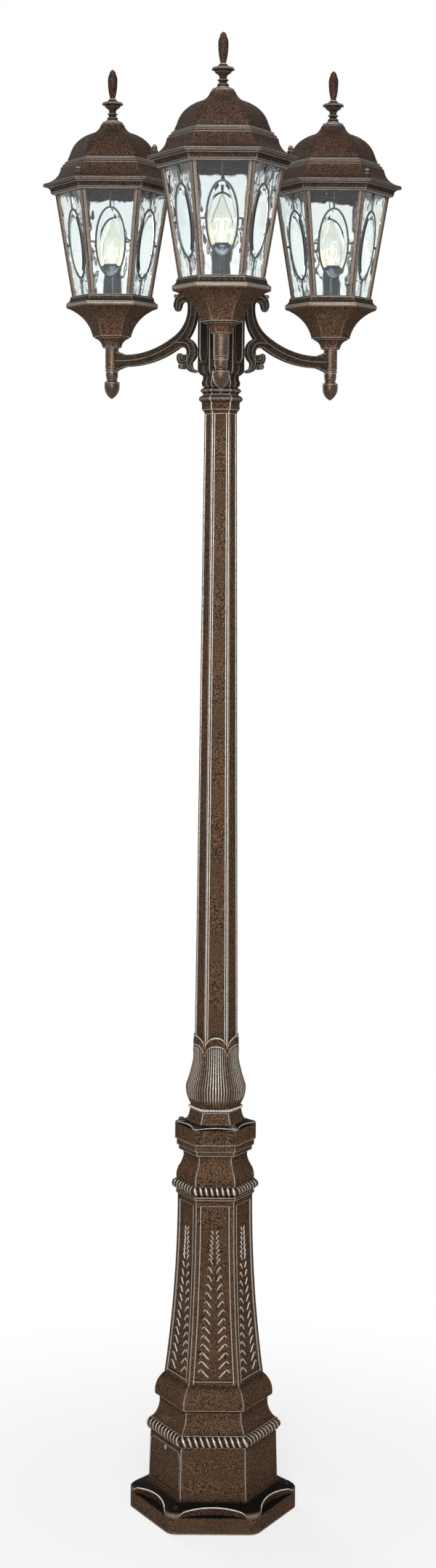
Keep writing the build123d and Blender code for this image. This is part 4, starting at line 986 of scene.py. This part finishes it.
def column_shaft():
    """Tapered ribbed shaft with its capital."""
    rings = []
    for share in np.linspace(0, 1, COLUMN_ROWS):
        apothem = COLUMN_APOTHEM + (COLUMN_TOP_APOTHEM - COLUMN_APOTHEM) * share
        rings.append(column_ring(apothem, COLUMN_Z + COLUMN_H * share))
    capital = eased(outline(COLUMN_TOP_APOTHEM, COLUMN_Z + COLUMN_H, CAPITAL_BANDS), COLUMN_EASE)
    return join([loft(rings), loft(casting(capital, CAPITAL_CORNER_R))])


foot_lips = scoop_lips(FOOT_APOTHEM, *FOOT_SCOOP, FOOT_SLOPE, FOOT_LIP_T)
bolt = turning(BOLT_R, COLLAR_BOLT_Z, BOLT_BANDS, FINE_EASE).moved(shift(COLLAR_BOLT_RADIUS, 0, 0))
piece("column_foot", column_foot(), BRONZE, "column", 0.6)
piece("column_foot_lips", foot_lips, BRONZE, "column")
piece("column_beads", beads(), BRONZE, "column", 0.3)
piece("column_tulip", tulip(), BRONZE, "column", 0.2)
piece("column_shaft", column_shaft(), BRONZE, "column", 1.0)
piece("collar_bolt_heads", around(bolt, COLLAR_BOLT_TURNS), FASTENER, "collar_bolts")

# Hub
HUB_Z = head("column")
HUB_APOTHEM = 33.5
HUB_NECK_APOTHEM = 25.9
HUB_CORNER_R = 1.3
HUB_BANDS = [
    (HUB_NECK_APOTHEM, 4.0, 0), (HUB_NECK_APOTHEM, 8.0, 3.5), (24.4, 0.6, 0), (24.4, 1.4, 0),
    (HUB_NECK_APOTHEM, 0.6, 0), (HUB_NECK_APOTHEM, 11.4, 1.8), (HUB_NECK_APOTHEM, 6.0, 0),
    (HUB_APOTHEM, 13.0, 2.5), (HUB_APOTHEM, 114.0, 0),
]
CAP_Z = HUB_Z + 159.0
CAP_CORNER_R = 1.6
CAP_APOTHEM = 36.0
CAP_FOOT_APOTHEM = 35.0
CAP_BANDS = [(CAP_APOTHEM, 1.0, 0), (CAP_APOTHEM, 3.0, 0), (8.0, 6.5, 2.5), (1.0, 0.5, 0)]
HUB_PANEL_HALF = 12.0
HUB_PANEL_DEPTH = 1.8
HUB_PANEL_FOOT = HUB_Z + 54.0
HUB_PANEL_HEAD = HUB_Z + 150.0


def hub_ring(apothem, z):
    """Hub section with a sunk panel whose foot is a half circle."""
    climb = np.clip(z - HUB_PANEL_FOOT, 0, HUB_PANEL_HALF)
    edge = max(2.0, math.sqrt(max(0.0, HUB_PANEL_HALF ** 2 - (HUB_PANEL_HALF - climb) ** 2)))
    sunk = HUB_PANEL_DEPTH * float(z > HUB_PANEL_FOOT + 0.1) * float(z < HUB_PANEL_HEAD)
    marks = [(0.3 * edge, sunk), (0.6 * edge, sunk), (edge - 0.8, sunk), (edge, 0.0)]
    marks += [(edge + 0.7, -0.35 * (sunk > 0)), (edge + 1.4, 0.0)]
    return hexagon(apothem, z, HUB_CORNER_R, marks)


hub_rows = [HUB_PANEL_FOOT + HUB_PANEL_HALF * (1 - math.cos(a)) for a in np.linspace(0.0, math.pi / 2, 12)]
hub_rows += [HUB_PANEL_FOOT - 0.9, HUB_PANEL_FOOT + 0.2, HUB_PANEL_HEAD - 0.8, HUB_PANEL_HEAD]
hub_profile = with_rows(eased(outline(HUB_NECK_APOTHEM, HUB_Z, HUB_BANDS), COLUMN_EASE), hub_rows)
hub = loft([hub_ring(apothem, z) for apothem, z in hub_profile])
cap = loft(casting(eased(outline(CAP_FOOT_APOTHEM, CAP_Z, CAP_BANDS), COLUMN_EASE), CAP_CORNER_R))
piece("hub_casting", hub, SHADED_BRONZE, "hub", 0.6)
piece("hub_cap_casting", cap, BRONZE, "hub_cap")

# Arms, each made in the X-Z plane and turned to its place
ARM_Z = 1959.0
HUB_STAND_OFF = 20.3
BAR_BEND_R = 180.0
BAR_BEND = 33.0
BRANCH_BEND_R = 62.0
BRANCH_STRAIGHT = 6.0
VOLUTE_R = 14.5
SCROLL_R = 15.8
SCROLL_X = HUB_APOTHEM + 37.5
SCROLL_Z = ARM_Z + 11.0
SCROLL_CURL_R = 7.5
ARM_LEAF_R = 14.0
RIDGE_HALF = 8.5
EDGE_HALF = 5.2
FULL_HALF = 8.3
EYE_HALF = 7.6
UPPER_EYE_R = 3.4
UPPER_EYE_OUT = 7.5
LOWER_EYE_R = 4.6
LOWER_EYE_OUT = 3.1
PAD_R = 5.6
PAD_RISES = (9.5, 80.5)
BOSS_R = 11.7
BOSS_FOOT = ARM_Z - 18.0
BOSS_TOP = ARM_Z + 22.0
ACORN_TIP_R = 0.5
ACORN_BANDS = [(13.1, 25.0, 4.5), (13.1, 3.0, 0.4), (9.5, 1.5, 0.3), (9.5, 4.5, -0.4), (10.2, 1.0, 0),
               (10.2, 10.0, 0.4)]
STEM_R = 5.0
STEM_GROOVE = 0.5
STEM_PITCH = 1.2
STROKE_STEP = 2.2


def walk(start, heading, runs):
    """Stations along straights and arcs; a run is (radius, degrees or length, half depth at its end)."""
    x, z, half = start
    stations = [(x, z, heading, half)]
    for radius, amount, end_half in runs:
        length = abs(math.radians(amount)) * radius if radius else amount
        steps = max(2, round(length / STROKE_STEP))
        turn = amount / steps if radius else 0.0
        chord = 2 * radius * math.sin(math.radians(abs(turn)) / 2) if radius else amount / steps
        first = half
        for step in range(1, steps + 1):
            course = math.radians(heading + turn / 2)
            x += chord * math.cos(course)
            z += chord * math.sin(course)
            heading += turn
            half = first + (end_half - first) * float(smooth(step / steps, 0, 1))
            stations.append((x, z, heading, half))
    return stations


def stroke_section():
    """Section of a scrolled bar in shares: rounded edges and a ridge along each flank."""
    ridge = [(0.16, RIDGE_HALF - 0.8), (0, RIDGE_HALF), (-0.16, RIDGE_HALF - 0.8)]
    corners = [(1, EDGE_HALF), *ridge, (-1, EDGE_HALF)]
    corners += [(share, -thick) for share, thick in reversed(corners)]
    points = []
    for k, corner in enumerate(corners):
        before, after = np.array(corners[k - 1]), np.array(corners[(k + 1) % len(corners)])
        corner = np.array(corner, float)
        pull = 0.16 if abs(corner[0]) == 1 else 0.3
        points += [corner + pull * (before - corner), corner + pull / 5 * (before + after - 2 * corner),
                   corner + pull * (after - corner)]
    return np.array(points)


SECTION = stroke_section()


def stroke(stations):
    """Swept bar through stations, with its far end rounded off."""
    rings = []
    for x, z, heading, half in stations:
        slim = min(1.0, half / FULL_HALF)
        out = np.array((-math.sin(math.radians(heading)), 0, math.cos(math.radians(heading))))
        rings.append(np.array((x, 0, z)) + np.outer(SECTION[:, 0] * half, out)
                     + np.outer(SECTION[:, 1] * slim, (0, 1, 0)))
    x, z, heading, half = stations[-1]
    way = np.array((math.cos(math.radians(heading)), 0, math.sin(math.radians(heading))))
    end = np.array((x, 0, z))
    spread = rings[-1] - end
    for share in (0.5, 0.8, 0.95):
        rings.append(end + spread * math.sqrt(1 - share ** 2) + way * half * share * 0.8)
    return loft(rings)


def eye(x, z, radius):
    """Round eye beside a scroll, ringed on both faces."""
    marks = ((0.3, 0.3), (0.5, -0.5), (0.62, -0.5), (0.75, 0.2), (0.95, -0.4), (1.0, -1.2))
    side = [(radius * share, EYE_HALF + proud) for share, proud in marks]
    profile = [(r, -y) for r, y in side] + side[::-1]
    return turned(profile).moved(shift(x, 0, z) @ Matrix.Rotation(math.radians(90), 4, "X"))


def pad(z):
    """Round pad with a collar between an arm and the hub."""
    start = HUB_APOTHEM - 1.4
    bands = [(PAD_R + 1.0, 0.01, 0), (PAD_R + 1.0, 2.6, 0), (PAD_R - 0.6, 1.0, 0), (PAD_R - 0.6, 3.4, 0),
             (PAD_R + 0.5, 0.8, 0), (PAD_R + 0.5, 3.0, 0.5), (PAD_R - 0.4, 0.8, 0),
             (PAD_R - 0.4, HUB_STAND_OFF - 13.0, 0)]
    lying = Matrix.Rotation(math.radians(90), 4, "Y")
    return turning(PAD_R, start, bands, TURNED_EASE).moved(shift(0, 0, z) @ lying)


def arm():
    """Scrolled arm with its pads and eyes."""
    bend = math.radians(BAR_BEND)
    swing = BAR_BEND_R * math.sin(bend) + BRANCH_BEND_R * (1 - math.sin(bend))
    rise = BAR_BEND_R * (1 - math.cos(bend)) + BRANCH_BEND_R * math.cos(bend)
    straight = ARM_REACH - swing - HUB_APOTHEM - HUB_STAND_OFF
    bar = walk((ARM_REACH, ARM_Z, 18.0), 180, [
        (0, straight, 10.0), (BAR_BEND_R, -BAR_BEND, 10.5), (BRANCH_BEND_R, BAR_BEND - 90, 8.3),
        (0, BRANCH_STRAIGHT, 8.3), (VOLUTE_R, -90, 8.4), (VOLUTE_R, -90, 7.0), (0, 5.0, 5.4)])
    scroll = walk((SCROLL_X + SCROLL_R, SCROLL_Z + SCROLL_R, 8.0), 180, [
        (0, SCROLL_R, 8.0), (SCROLL_R, 90, 8.6), (SCROLL_R, 90, 6.2), (SCROLL_CURL_R, 110, 5.4)])
    leaf = walk((SCROLL_X - SCROLL_R + 6.5, SCROLL_Z - 4.0, 8.0), 270, [
        (0, ARM_LEAF_R, 6.5), (ARM_LEAF_R, -90, 2.7), (0, 4.0, 1.2)])
    shoulder = (VOLUTE_R + UPPER_EYE_OUT) * math.cos(math.radians(45))
    volute_x = HUB_APOTHEM + HUB_STAND_OFF + VOLUTE_R
    upper_eye = eye(volute_x + shoulder, ARM_Z + rise + BRANCH_STRAIGHT + shoulder, UPPER_EYE_R)
    lower_eye = eye(SCROLL_X + LOWER_EYE_OUT, SCROLL_Z - SCROLL_R - SCROLL_CURL_R, LOWER_EYE_R)
    pads = [pad(ARM_Z + up) for up in PAD_RISES]
    return join([stroke(bar), stroke(scroll), stroke(leaf), upper_eye, lower_eye, *pads])


def boss():
    """Polished boss at an arm's end."""
    bands = [(BOSS_R, 0.8, 0), (BOSS_R, 3.0, 0), (BOSS_R - 0.9, 0.5, 0), (BOSS_R - 0.9, 1.0, 0),
             (BOSS_R, 0.5, 0), (BOSS_R, BOSS_TOP - BOSS_FOOT - 7.0, 0), (BOSS_R - 1.2, 1.2, 0)]
    return turning(BOSS_R - 0.8, BOSS_FOOT, bands, TURNED_EASE).moved(shift(ARM_REACH, 0, 0))


arm_form = arm()
boss_form = boss()
for place, turn in PLACES.items():
    facing = turn_about(FRONT_TURN + turn)
    piece(f"{place}_arm_casting", arm_form.moved(facing), SHADED_BRONZE, f"arm_{place}", 0.4)
    piece(f"{place}_arm_boss", boss_form.moved(facing), POLISHED_BRONZE, f"arm_{place}", 0.4)
acorn = turning(ACORN_TIP_R, foot("acorns"), ACORN_BANDS, TURNED_EASE)
stem_rows = int((head("stems") - foot("stems")) / STEM_PITCH)
stem = threaded(STEM_R, STEM_GROOVE, foot("stems"), STEM_PITCH, stem_rows)
piece("acorn_finials", at_lanterns(acorn), POLISHED_BRONZE, "acorns", 0.4)
piece("lantern_stems", at_lanterns(stem), FASTENER, "stems")

# Lanterns, each made round its own axis
CUP_Z = foot("cup_front")
CUP_FOOT_APOTHEM = 13.4
SILL_Z = foot("cage_front")
SILL_TOP = SILL_Z + 15.0
RIB_FOOT_APOTHEM = 58.3
RIB_HEAD_APOTHEM = 82.9
RIB_H = 168.0
RIB_TOP = SILL_TOP + RIB_H
RIB_W = 8.0
RIB_T = 4.0
RIB_ROWS = 6
# Half a rib's section, as (distance from its corner, depth below its face)
RIB_SECTION = [
    (0.0, -0.1), (1.0, 0.1), (2.0, 0.5), (2.5, 0.75), (3.0, 0.3), (RIB_W - 1.4, 0.2), (RIB_W - 0.5, 0.6),
    (RIB_W, 1.5), (RIB_W, RIB_T - 0.8), (RIB_W - 0.8, RIB_T), (3.0, RIB_T), (0.0, RIB_T),
]
SILL_APOTHEM = 67.3
SILL_INSIDE = 50.0
CORNICE_FOOT_APOTHEM = 88.4
CORNICE_INSIDE = 72.0
ROOF_Z = foot("roof_front")
ROOF_APOTHEM = 101.0
ROOF_CORNER_R = 4.0
DOME_CORNER_R = 16.0
# Rises over which a roof's corners soften into the dome, and sharpen again above it
DOME_START = (46.0, 54.0)
DOME_END = (78.0, 96.0)
LANTERN_CORNER_R = 3.2
CUP_BANDS = [(14.6, 2.0, 0), (24.6, 13.6, -2.4), (25.5, 1.4, 0), (28.7, 1.2, 0), (28.7, 2.3, 0),
             (62.4, 43.5, -6.4), (SILL_APOTHEM, 3.5, 1.0), (SILL_APOTHEM, 2.5, 0)]
CUP_INSIDE = [(61.5, SILL_Z), (56.5, SILL_Z - 7.0), (40.0, SILL_Z - 22.0), (24.0, SILL_Z - 41.0)]
SILL_BANDS = [(SILL_APOTHEM, 3.0, 0), (66.0, 1.0, 0), (61.6, 8.5, -1.6), (60.4, 1.2, 0), (60.4, 1.3, 0)]
CORNICE_BANDS = [(89.2, 2.0, 0), (90.2, 0.8, 0), (93.2, 7.2, -1.2), (94.4, 0.9, 0), (94.4, 1.6, 0)]
ROOF_BANDS = [
    (ROOF_APOTHEM, 4.6, 0), (99.6, 0.9, 0), (75.2, 26.6, -6.3), (73.6, 1.4, 0), (72.4, 0.5, 0),
    (72.4, 2.6, 0.9), (70.5, 0.6, 0), (70.5, 1.2, 0), (68.6, 0.5, 0), (68.6, 2.8, 0.9), (65.5, 1.6, 0),
    (65.0, 2.8, 0), (32.0, 42.0, 8.2), (17.4, 14.5, -3.0), (15.5, 1.5, 0), (15.5, 2.0, 0.5), (13.6, 1.6, 0),
    (12.0, 0.4, 0),
]
ROOF_INSIDE = [(8.0, ROOF_Z + 92.0), (27.0, ROOF_Z + 84.0), (57.0, ROOF_Z + 45.0), (62.0, ROOF_Z + 34.0),
               (86.0, ROOF_Z + 4.0), (86.0, ROOF_Z)]


def roof_corner(z):
    """Corner radius of a roof: crisp skirt, soft dome, crisp neck."""
    rise = z - ROOF_Z
    share = float(smooth(rise, *DOME_START) * (1 - smooth(rise, *DOME_END)))
    return ROOF_CORNER_R + (DOME_CORNER_R - ROOF_CORNER_R) * share


def rib():
    """Corner rib of a cage: an angle bar with a bead down its edge, leaning outwards."""
    rings = []
    for share in np.linspace(0, 1, RIB_ROWS):
        apothem = RIB_FOOT_APOTHEM + (RIB_HEAD_APOTHEM - RIB_FOOT_APOTHEM) * share
        z = SILL_TOP - 1.0 + (RIB_H + 2.0) * share
        corner = direction(0) * (apothem / COS30)
        points = []
        for way, marks in ((1, RIB_SECTION), (-1, RIB_SECTION[-2:0:-1])):
            normal, tangent = direction(30 * way), direction(-60 * way)
            points += [corner - tangent * along - normal * sunk + UP * z for along, sunk in marks]
        rings.append(np.array(points))
    return loft(rings)


def cage():
    """Sill and cornice of a lantern."""
    sill = eased(outline(SILL_APOTHEM, SILL_Z, SILL_BANDS), LANTERN_EASE)
    cornice = eased(outline(CORNICE_FOOT_APOTHEM, RIB_TOP, CORNICE_BANDS), LANTERN_EASE)
    opened_sill = [np.array((SILL_INSIDE, SILL_TOP)), np.array((SILL_INSIDE, SILL_Z))]
    opened_cornice = [np.array((CORNICE_INSIDE, ROOF_Z)), np.array((CORNICE_INSIDE, RIB_TOP))]
    return join([
        loft(casting(sill + opened_sill, LANTERN_CORNER_R), loop=True),
        loft(casting(cornice + opened_cornice, LANTERN_CORNER_R), loop=True)])


PANE_T = 3.0
PANE_SET = RIB_T + 0.3
PANE_LEAN = math.atan((RIB_HEAD_APOTHEM - RIB_FOOT_APOTHEM) / RIB_H)
OVAL_W = 45.0
OVAL_H = 109.0
OVAL_STEPS = 72
PANE_ROWS = 9
CAME_W = 3.2
CAME_T = 1.6
RIPPLE_WAVES = 5
RIPPLE_DEPTH = 0.16


def pane_frame(k):
    """Frame on a pane's outer face, which looks down by its lean."""
    apothem = (RIB_FOOT_APOTHEM + RIB_HEAD_APOTHEM) / 2 - PANE_SET
    return face_frame(30 + 60 * k, -PANE_LEAN, apothem, SILL_TOP + RIB_H / 2)


def pane_half_size():
    """Half widths of a pane at foot and head, and half its height up the slope."""
    setback = PANE_SET + PANE_T / math.cos(PANE_LEAN)
    widths = [(apothem - setback) * TAN30 - 0.6 for apothem in (RIB_FOOT_APOTHEM, RIB_HEAD_APOTHEM)]
    return (*widths, (RIB_H / 2 - 0.3) / math.cos(PANE_LEAN) - 0.5)


def ripple(x, y, seed):
    """Uneven thickness of poured glass."""
    waves = np.zeros_like(x)
    for k in range(RIPPLE_WAVES):
        turn = 1.9 * k + 0.7 * seed
        pace = 0.22 + 0.11 * k
        along = x * math.cos(turn) + 0.7 * y * math.sin(turn)
        waves += np.sin(pace * along + 2.3 * k + seed) / (1 + 0.5 * k)
    return RIPPLE_DEPTH * waves


def pane(seed):
    """One pane with an oval opening, rippled on both faces."""
    foot_half, head_half, half = pane_half_size()
    spots = ((foot_half, -half), (head_half, half), (-head_half, half), (-foot_half, -half))
    corners = [math.atan2(y, x) for x, y in spots]
    turns = np.array(sorted([*np.linspace(-math.pi, math.pi, OVAL_STEPS + 1)[:-1], *corners]))
    x_way, y_way = np.cos(turns), np.sin(turns)
    slope = (head_half - foot_half) / (2 * half)
    middle = (head_half + foot_half) / 2
    to_sides = middle / np.maximum(1e-6, np.abs(x_way) - slope * y_way)
    to_ends = half / np.maximum(1e-6, np.abs(y_way))
    outer = np.minimum(to_sides, to_ends)
    inner = 1 / np.hypot(x_way / (OVAL_W / 2 + 0.2), y_way / (OVAL_H / 2 + 0.2))
    rings = []
    for face, rows in ((0.0, np.linspace(0, 1, PANE_ROWS)), (-PANE_T, np.linspace(1, 0, PANE_ROWS))):
        for share in rows:
            reach = inner + (outer - inner) * share
            x, y = reach * x_way, reach * y_way
            rings.append(np.column_stack((x, y, face - 0.3 + ripple(x, y, seed + (face < 0)))))
    return loft(rings, loop=True)


def oval_ring(width, height, z):
    turns = np.arange(OVAL_STEPS) * 2 * math.pi / OVAL_STEPS
    return np.column_stack((width / 2 * np.cos(turns), height / 2 * np.sin(turns), np.full(OVAL_STEPS, z)))


def oval():
    """Clear oval with a wide bevel and a softly crowned table."""
    steps = [(0.05, -PANE_T), (0.96, -PANE_T), (0.98, -PANE_T), (1.0, -PANE_T + 0.4), (1.0, -0.3),
             (0.99, 0.0), (0.97, 0.14), (0.80, 1.3), (0.785, 1.42), (0.77, 1.48), (0.75, 1.5), (0.05, 1.5)]
    return loft([oval_ring(OVAL_W * share, OVAL_H - OVAL_W * (1 - share), z) for share, z in steps])


def came_section():
    """Section of the lead: a low arch on a flat foot."""
    turns = np.linspace(0, math.pi, 7)
    rise = np.column_stack((CAME_W / 2 * np.cos(turns), CAME_T * np.sin(turns) ** 0.7))
    return np.vstack((rise, [(-CAME_W / 2, -0.6), (CAME_W / 2, -0.6)]))


def came_net():
    """Lead round the oval and four bars to the pane's edges."""
    foot_half, head_half, half = pane_half_size()
    section = came_section()
    rings = []
    for turn in np.arange(OVAL_STEPS) * 2 * math.pi / OVAL_STEPS:
        long, short = OVAL_H / 2 + CAME_W / 2, OVAL_W / 2 + CAME_W / 2
        centre = np.array((short * math.cos(turn), long * math.sin(turn), 0.0))
        out = np.array((math.cos(turn) / short, math.sin(turn) / long, 0.0))
        out /= np.linalg.norm(out)
        rings.append(centre + np.outer(section[:, 0], out) + np.outer(section[:, 1], UP))
    bars = [loft(rings, loop=True)]
    side = (foot_half + head_half) / 2 - RIB_W / 2 + 0.5
    to_end, to_side = (OVAL_H / 2 + 2, half), (OVAL_W / 2 + 2, side)
    for turn, (start, stop) in ((90, to_end), (270, to_end), (0, to_side), (180, to_side)):
        way, across = direction(turn), direction(turn + 90)
        run = [way * reach + np.outer(section[:, 0], across) + np.outer(section[:, 1], UP)
               for reach in np.linspace(start, stop, 4)]
        bars.append(loft(run))
    return join(bars)


def on_panes(make):
    """A form made for each of the six panes."""
    return join(make(k).moved(pane_frame(k)) for k in SIDES)


NUT_RADIUS = 105.0
NUT_R = 5.4
NUT_BANDS = [(NUT_R, 13.0, 0), (4.9, 1.0, 0), (4.2, 0.2, 0), (4.2, 4.6, 0), (3.4, 1.2, 0.3), (1.0, 2.4, 0.5)]
FINIAL_FOOT_R = 10.0
FINIAL_RISE = 8.0
FINIAL_BANDS = [
    (11.0, 1.6, 0.6), (10.0, 1.0, 0), (8.4, 1.2, 0), (8.8, 1.0, 0), (8.8, 1.6, 0.7), (7.2, 1.0, 0),
    (6.4, 3.2, -0.6), (8.2, 1.0, 0), (8.2, 1.6, 0.7), (6.2, 1.0, 0), (6.0, 2.8, -0.4), (9.6, 4.4, -1.0),
    (12.6, 2.2, -0.5), (17.4, 4.2, -1.4), (17.4, 1.4, 0.5), (14.0, 2.4, 0.8), (6.5, 4.2, -0.8),
    (5.2, 1.6, 0.4), (4.2, 1.2, 0), (4.6, 1.0, 0), (8.0, 26.0, 0.9), (5.6, 12.0, 0.9), (0.5, 7.8, 1.2),
]
HOLDER_FOOT_R = 14.8
HOLDER_BANDS = [(15.5, 1.0, 0), (15.5, 49.0, 0), (16.3, 0.8, 0), (16.3, 2.0, 0.4), (14.6, 0.6, 0),
                (13.2, 0.6, 0)]
BULB_Z = head("lampholders") - 1.0
BULB_FOOT_R = 12.8
BULB_BANDS = [(14.4, 6.0, 0.5), (17.0, 18.0, 0.9), (11.0, 26.0, 1.6), (4.6, 18.0, -0.6), (1.2, 6.5, 0.3)]
BULB_WALL = 0.7
LAMP_BASE_R = 12.4
LAMP_BASE_GROOVE = 0.7
LAMP_BASE_PITCH = 2.0
LAMP_BASE_ROWS = 12
FILAMENTS = 5
FILAMENT_H = 26.0
FILAMENT_R = 0.55
FILAMENT_TWIST = 40


def filament():
    """Lit wires spreading from a post low in the bulb."""
    wires = []
    for k in range(FILAMENTS):
        rings = []
        for share in np.linspace(0, 1, 10):
            reach = 2.0 + 6.5 * math.sin(math.pi * 0.6 * share)
            out = direction(360 / FILAMENTS * k + FILAMENT_TWIST * share)
            spot = out * reach + UP * (BULB_Z + 4 + FILAMENT_H * share)
            rings.append(spot + circle(FILAMENT_R * (1.3 - share), 0.0, 8))
        wires.append(loft(rings))
    return join(wires)


def bulb_glass():
    """Thin candle-shaped envelope."""
    outer = eased(outline(BULB_FOOT_R, BULB_Z, BULB_BANDS), FINE_EASE)
    inner = []
    for radius, z in reversed(outer):
        drop = BULB_WALL if radius < 2 else 0
        inner.append(np.array((max(0.3, radius - BULB_WALL), z - drop)))
    return loft([circle(radius, z) for radius, z in outer + inner], loop=True)


cup_outside = eased(outline(CUP_FOOT_APOTHEM, CUP_Z, CUP_BANDS), COLUMN_EASE)
cup = loft(casting(cup_outside + CUP_INSIDE, LANTERN_CORNER_R))
roof_outside = casting(eased(outline(ROOF_APOTHEM, ROOF_Z, ROOF_BANDS), LANTERN_EASE), roof_corner)
roof_inside = casting(ROOF_INSIDE, roof_corner)
roof = loft(roof_outside + roof_inside, loop=True)
# Painted shade inside the roof
roof.wear_and_painted_light[-len(roof_inside) * len(roof_inside[0]):] = -1
finial = turning(FINIAL_FOOT_R, foot("roof_finial_front") + FINIAL_RISE, FINIAL_BANDS, FINE_EASE)
nut = turning(NUT_R, ROOF_Z, NUT_BANDS, FINE_EASE).moved(shift(NUT_RADIUS, 0, 0))
lamp_base = threaded(LAMP_BASE_R, LAMP_BASE_GROOVE, foot("lamp_front"), LAMP_BASE_PITCH, LAMP_BASE_ROWS)
holder = turning(HOLDER_FOOT_R, foot("lampholders"), HOLDER_BANDS, TURNED_EASE)
lantern_pieces = [
    ("cup_casting", cup, BRONZE, "cup", "bronze", 0.45),
    ("cage_casting", cage(), SHADED_BRONZE, "cage", "bronze", 0.55),
    ("cage_ribs", around(rib(), SIXTHS), BRONZE, "cage", "bronze", 0.3),
    ("panes_rippled", on_panes(pane), PANE_GLASS, "panes", "pane_glass", 0),
    ("ovals_bevelled", on_panes(lambda k: oval()), OVAL_GLASS, "ovals", "oval_glass", 0),
    ("cames_lead", on_panes(lambda k: came_net()), LEAD, "cames", "came", 0.5),
    ("roof_casting", roof, ROOF_BRONZE, "roof", "roof_bronze", 0.36),
    ("roof_finial_turning", finial, ROOF_BRONZE, "roof_finial", "roof_bronze", 0.55),
    ("roof_cap_nuts", around(nut, (0, 180)), FASTENER, "roof_nuts", "fastener", 0.5),
    ("lamp_bulb", bulb_glass(), BULB_GLASS, "lamp", "lamp", 0),
    ("lamp_base", lamp_base, BULB_BASE, "lamp", "lamp", 0),
    ("lamp_filament", filament(), FILAMENT, "lamp", "lamp", 0),
]
for place in PLACES:
    for name, form, finish, node, slot, edge_brightening in lantern_pieces:
        piece(f"{place}_{name}", at_lantern(form, place), finish, f"{node}_{place}", edge_brightening)
piece("lampholder_sleeves", at_lanterns(holder), SLEEVE, "lampholders")

# Floor, backdrop, light and camera: lengths in metres, but the sensor in millimetres
FLOOR_R = 9.0
FLOOR_SIDES = 96
# White in the floor: near and far distance, and its share at each
FLOOR_FADE = (0.15, 1.1, 0.72, 1.0)
WORLD_LIGHT = 0.06
CAMERA_DISTANCE = 4.0536
CAMERA_HEIGHT = 1.680
CAMERA_PITCH = 6.0
CAMERA_ROLL = 0.415
FOCAL_PIXELS = 3350.0
IMAGE_HEIGHT = 2159.0
SENSOR = 36.0
CLIP_END = 100.0
# Lights: name, place, aim, width, height and watts
LIGHTS = [
    ("key", (-0.2, -4.0, 3.2), (0, 0, 1.2), 2.2, 1.2, 175.0),
    ("fill", (2.6, -2.8, 1.5), (0, 0, 1.2), 0.8, 2.4, 4.0),
    ("top", (0.0, -0.8, 4.4), (0, 0, 1.0), 1.8, 1.8, 22.0),
    ("back", (-1.8, 3.0, 2.2), (0, 0, 1.25), 1.2, 2.4, 50.0),
]


def floor_finish():
    """Pale floor that keeps the shadow near the post and runs out into white."""
    finish = Finish("floor")
    finish.set(base_color=colour(0.86, 0.86, 0.85), roughness=0.9, specular_ior_level=0.1)
    apart = finish.node("ShaderNodeVectorMath", {0: finish.place}, operation="LENGTH").outputs["Value"]
    fade = finish.step(apart, *FLOOR_FADE)
    white = finish.node("ShaderNodeEmission", {"Color": WHITE, "Strength": 1.0}).outputs[0]
    share = finish.math("MULTIPLY", finish.sees_background(), fade)
    mixed = finish.node("ShaderNodeMixShader", {0: share, 1: finish.shader.outputs[0], 2: white}).outputs[0]
    finish.feed(finish.tree.nodes["Material Output"].inputs["Surface"], mixed)
    return finish.material


def world():
    """White backdrop for what is seen, and a plain grey light on surfaces."""
    sky = bpy.data.worlds.new("studio")
    sky.use_nodes = True
    sky_nodes = Nodes(sky.node_tree)
    lit = sky_nodes.tree.nodes["Background"]
    sky_nodes.feed(lit.inputs["Color"], WHITE)
    sky_nodes.feed(lit.inputs["Strength"], WORLD_LIGHT)
    white = sky_nodes.node("ShaderNodeBackground", {"Color": WHITE, "Strength": 1.0}).outputs[0]
    shaders = {0: sky_nodes.sees_background(), 1: lit.outputs[0], 2: white}
    mixed = sky_nodes.node("ShaderNodeMixShader", shaders).outputs[0]
    sky_nodes.feed(sky_nodes.tree.nodes["World Output"].inputs["Surface"], mixed)
    bpy.context.scene.world = sky


def soft_light(name, place, aim, width, height, power):
    """Rectangular studio lamp aimed at a point."""
    data = bpy.data.lights.new(name, "AREA")
    data.shape = "RECTANGLE"
    data.size, data.size_y, data.energy = width, height, power
    lamp = placed(name, data)
    lamp.location = place
    away = lamp.location - Matrix.Translation(aim).translation
    lamp.rotation_euler = away.to_track_quat("Z", "Y").to_euler()


def camera():
    """Camera fitted to the photograph."""
    data = bpy.data.cameras.new("camera")
    data.sensor_width = SENSOR
    data.lens = FOCAL_PIXELS / IMAGE_HEIGHT * SENSOR
    data.clip_end = CLIP_END
    thing = placed("camera", data)
    look = Matrix.Rotation(math.radians(90 - CAMERA_PITCH), 4, "X") @ turn_about(CAMERA_ROLL)
    thing.matrix_world = shift(0, -CAMERA_DISTANCE, CAMERA_HEIGHT) @ look
    bpy.context.scene.camera = thing


floor_mesh = bpy.data.meshes.new("floor")
floor_mesh.from_pydata(circle(FLOOR_R, 0.0, FLOOR_SIDES).tolist(), [], [tuple(range(FLOOR_SIDES))])
floor_mesh.materials.append(floor_finish())
floor = placed("floor", floor_mesh)
world()
for light in LIGHTS:
    soft_light(*light)
camera()
bpy.context.scene.view_settings.view_transform = "Standard"
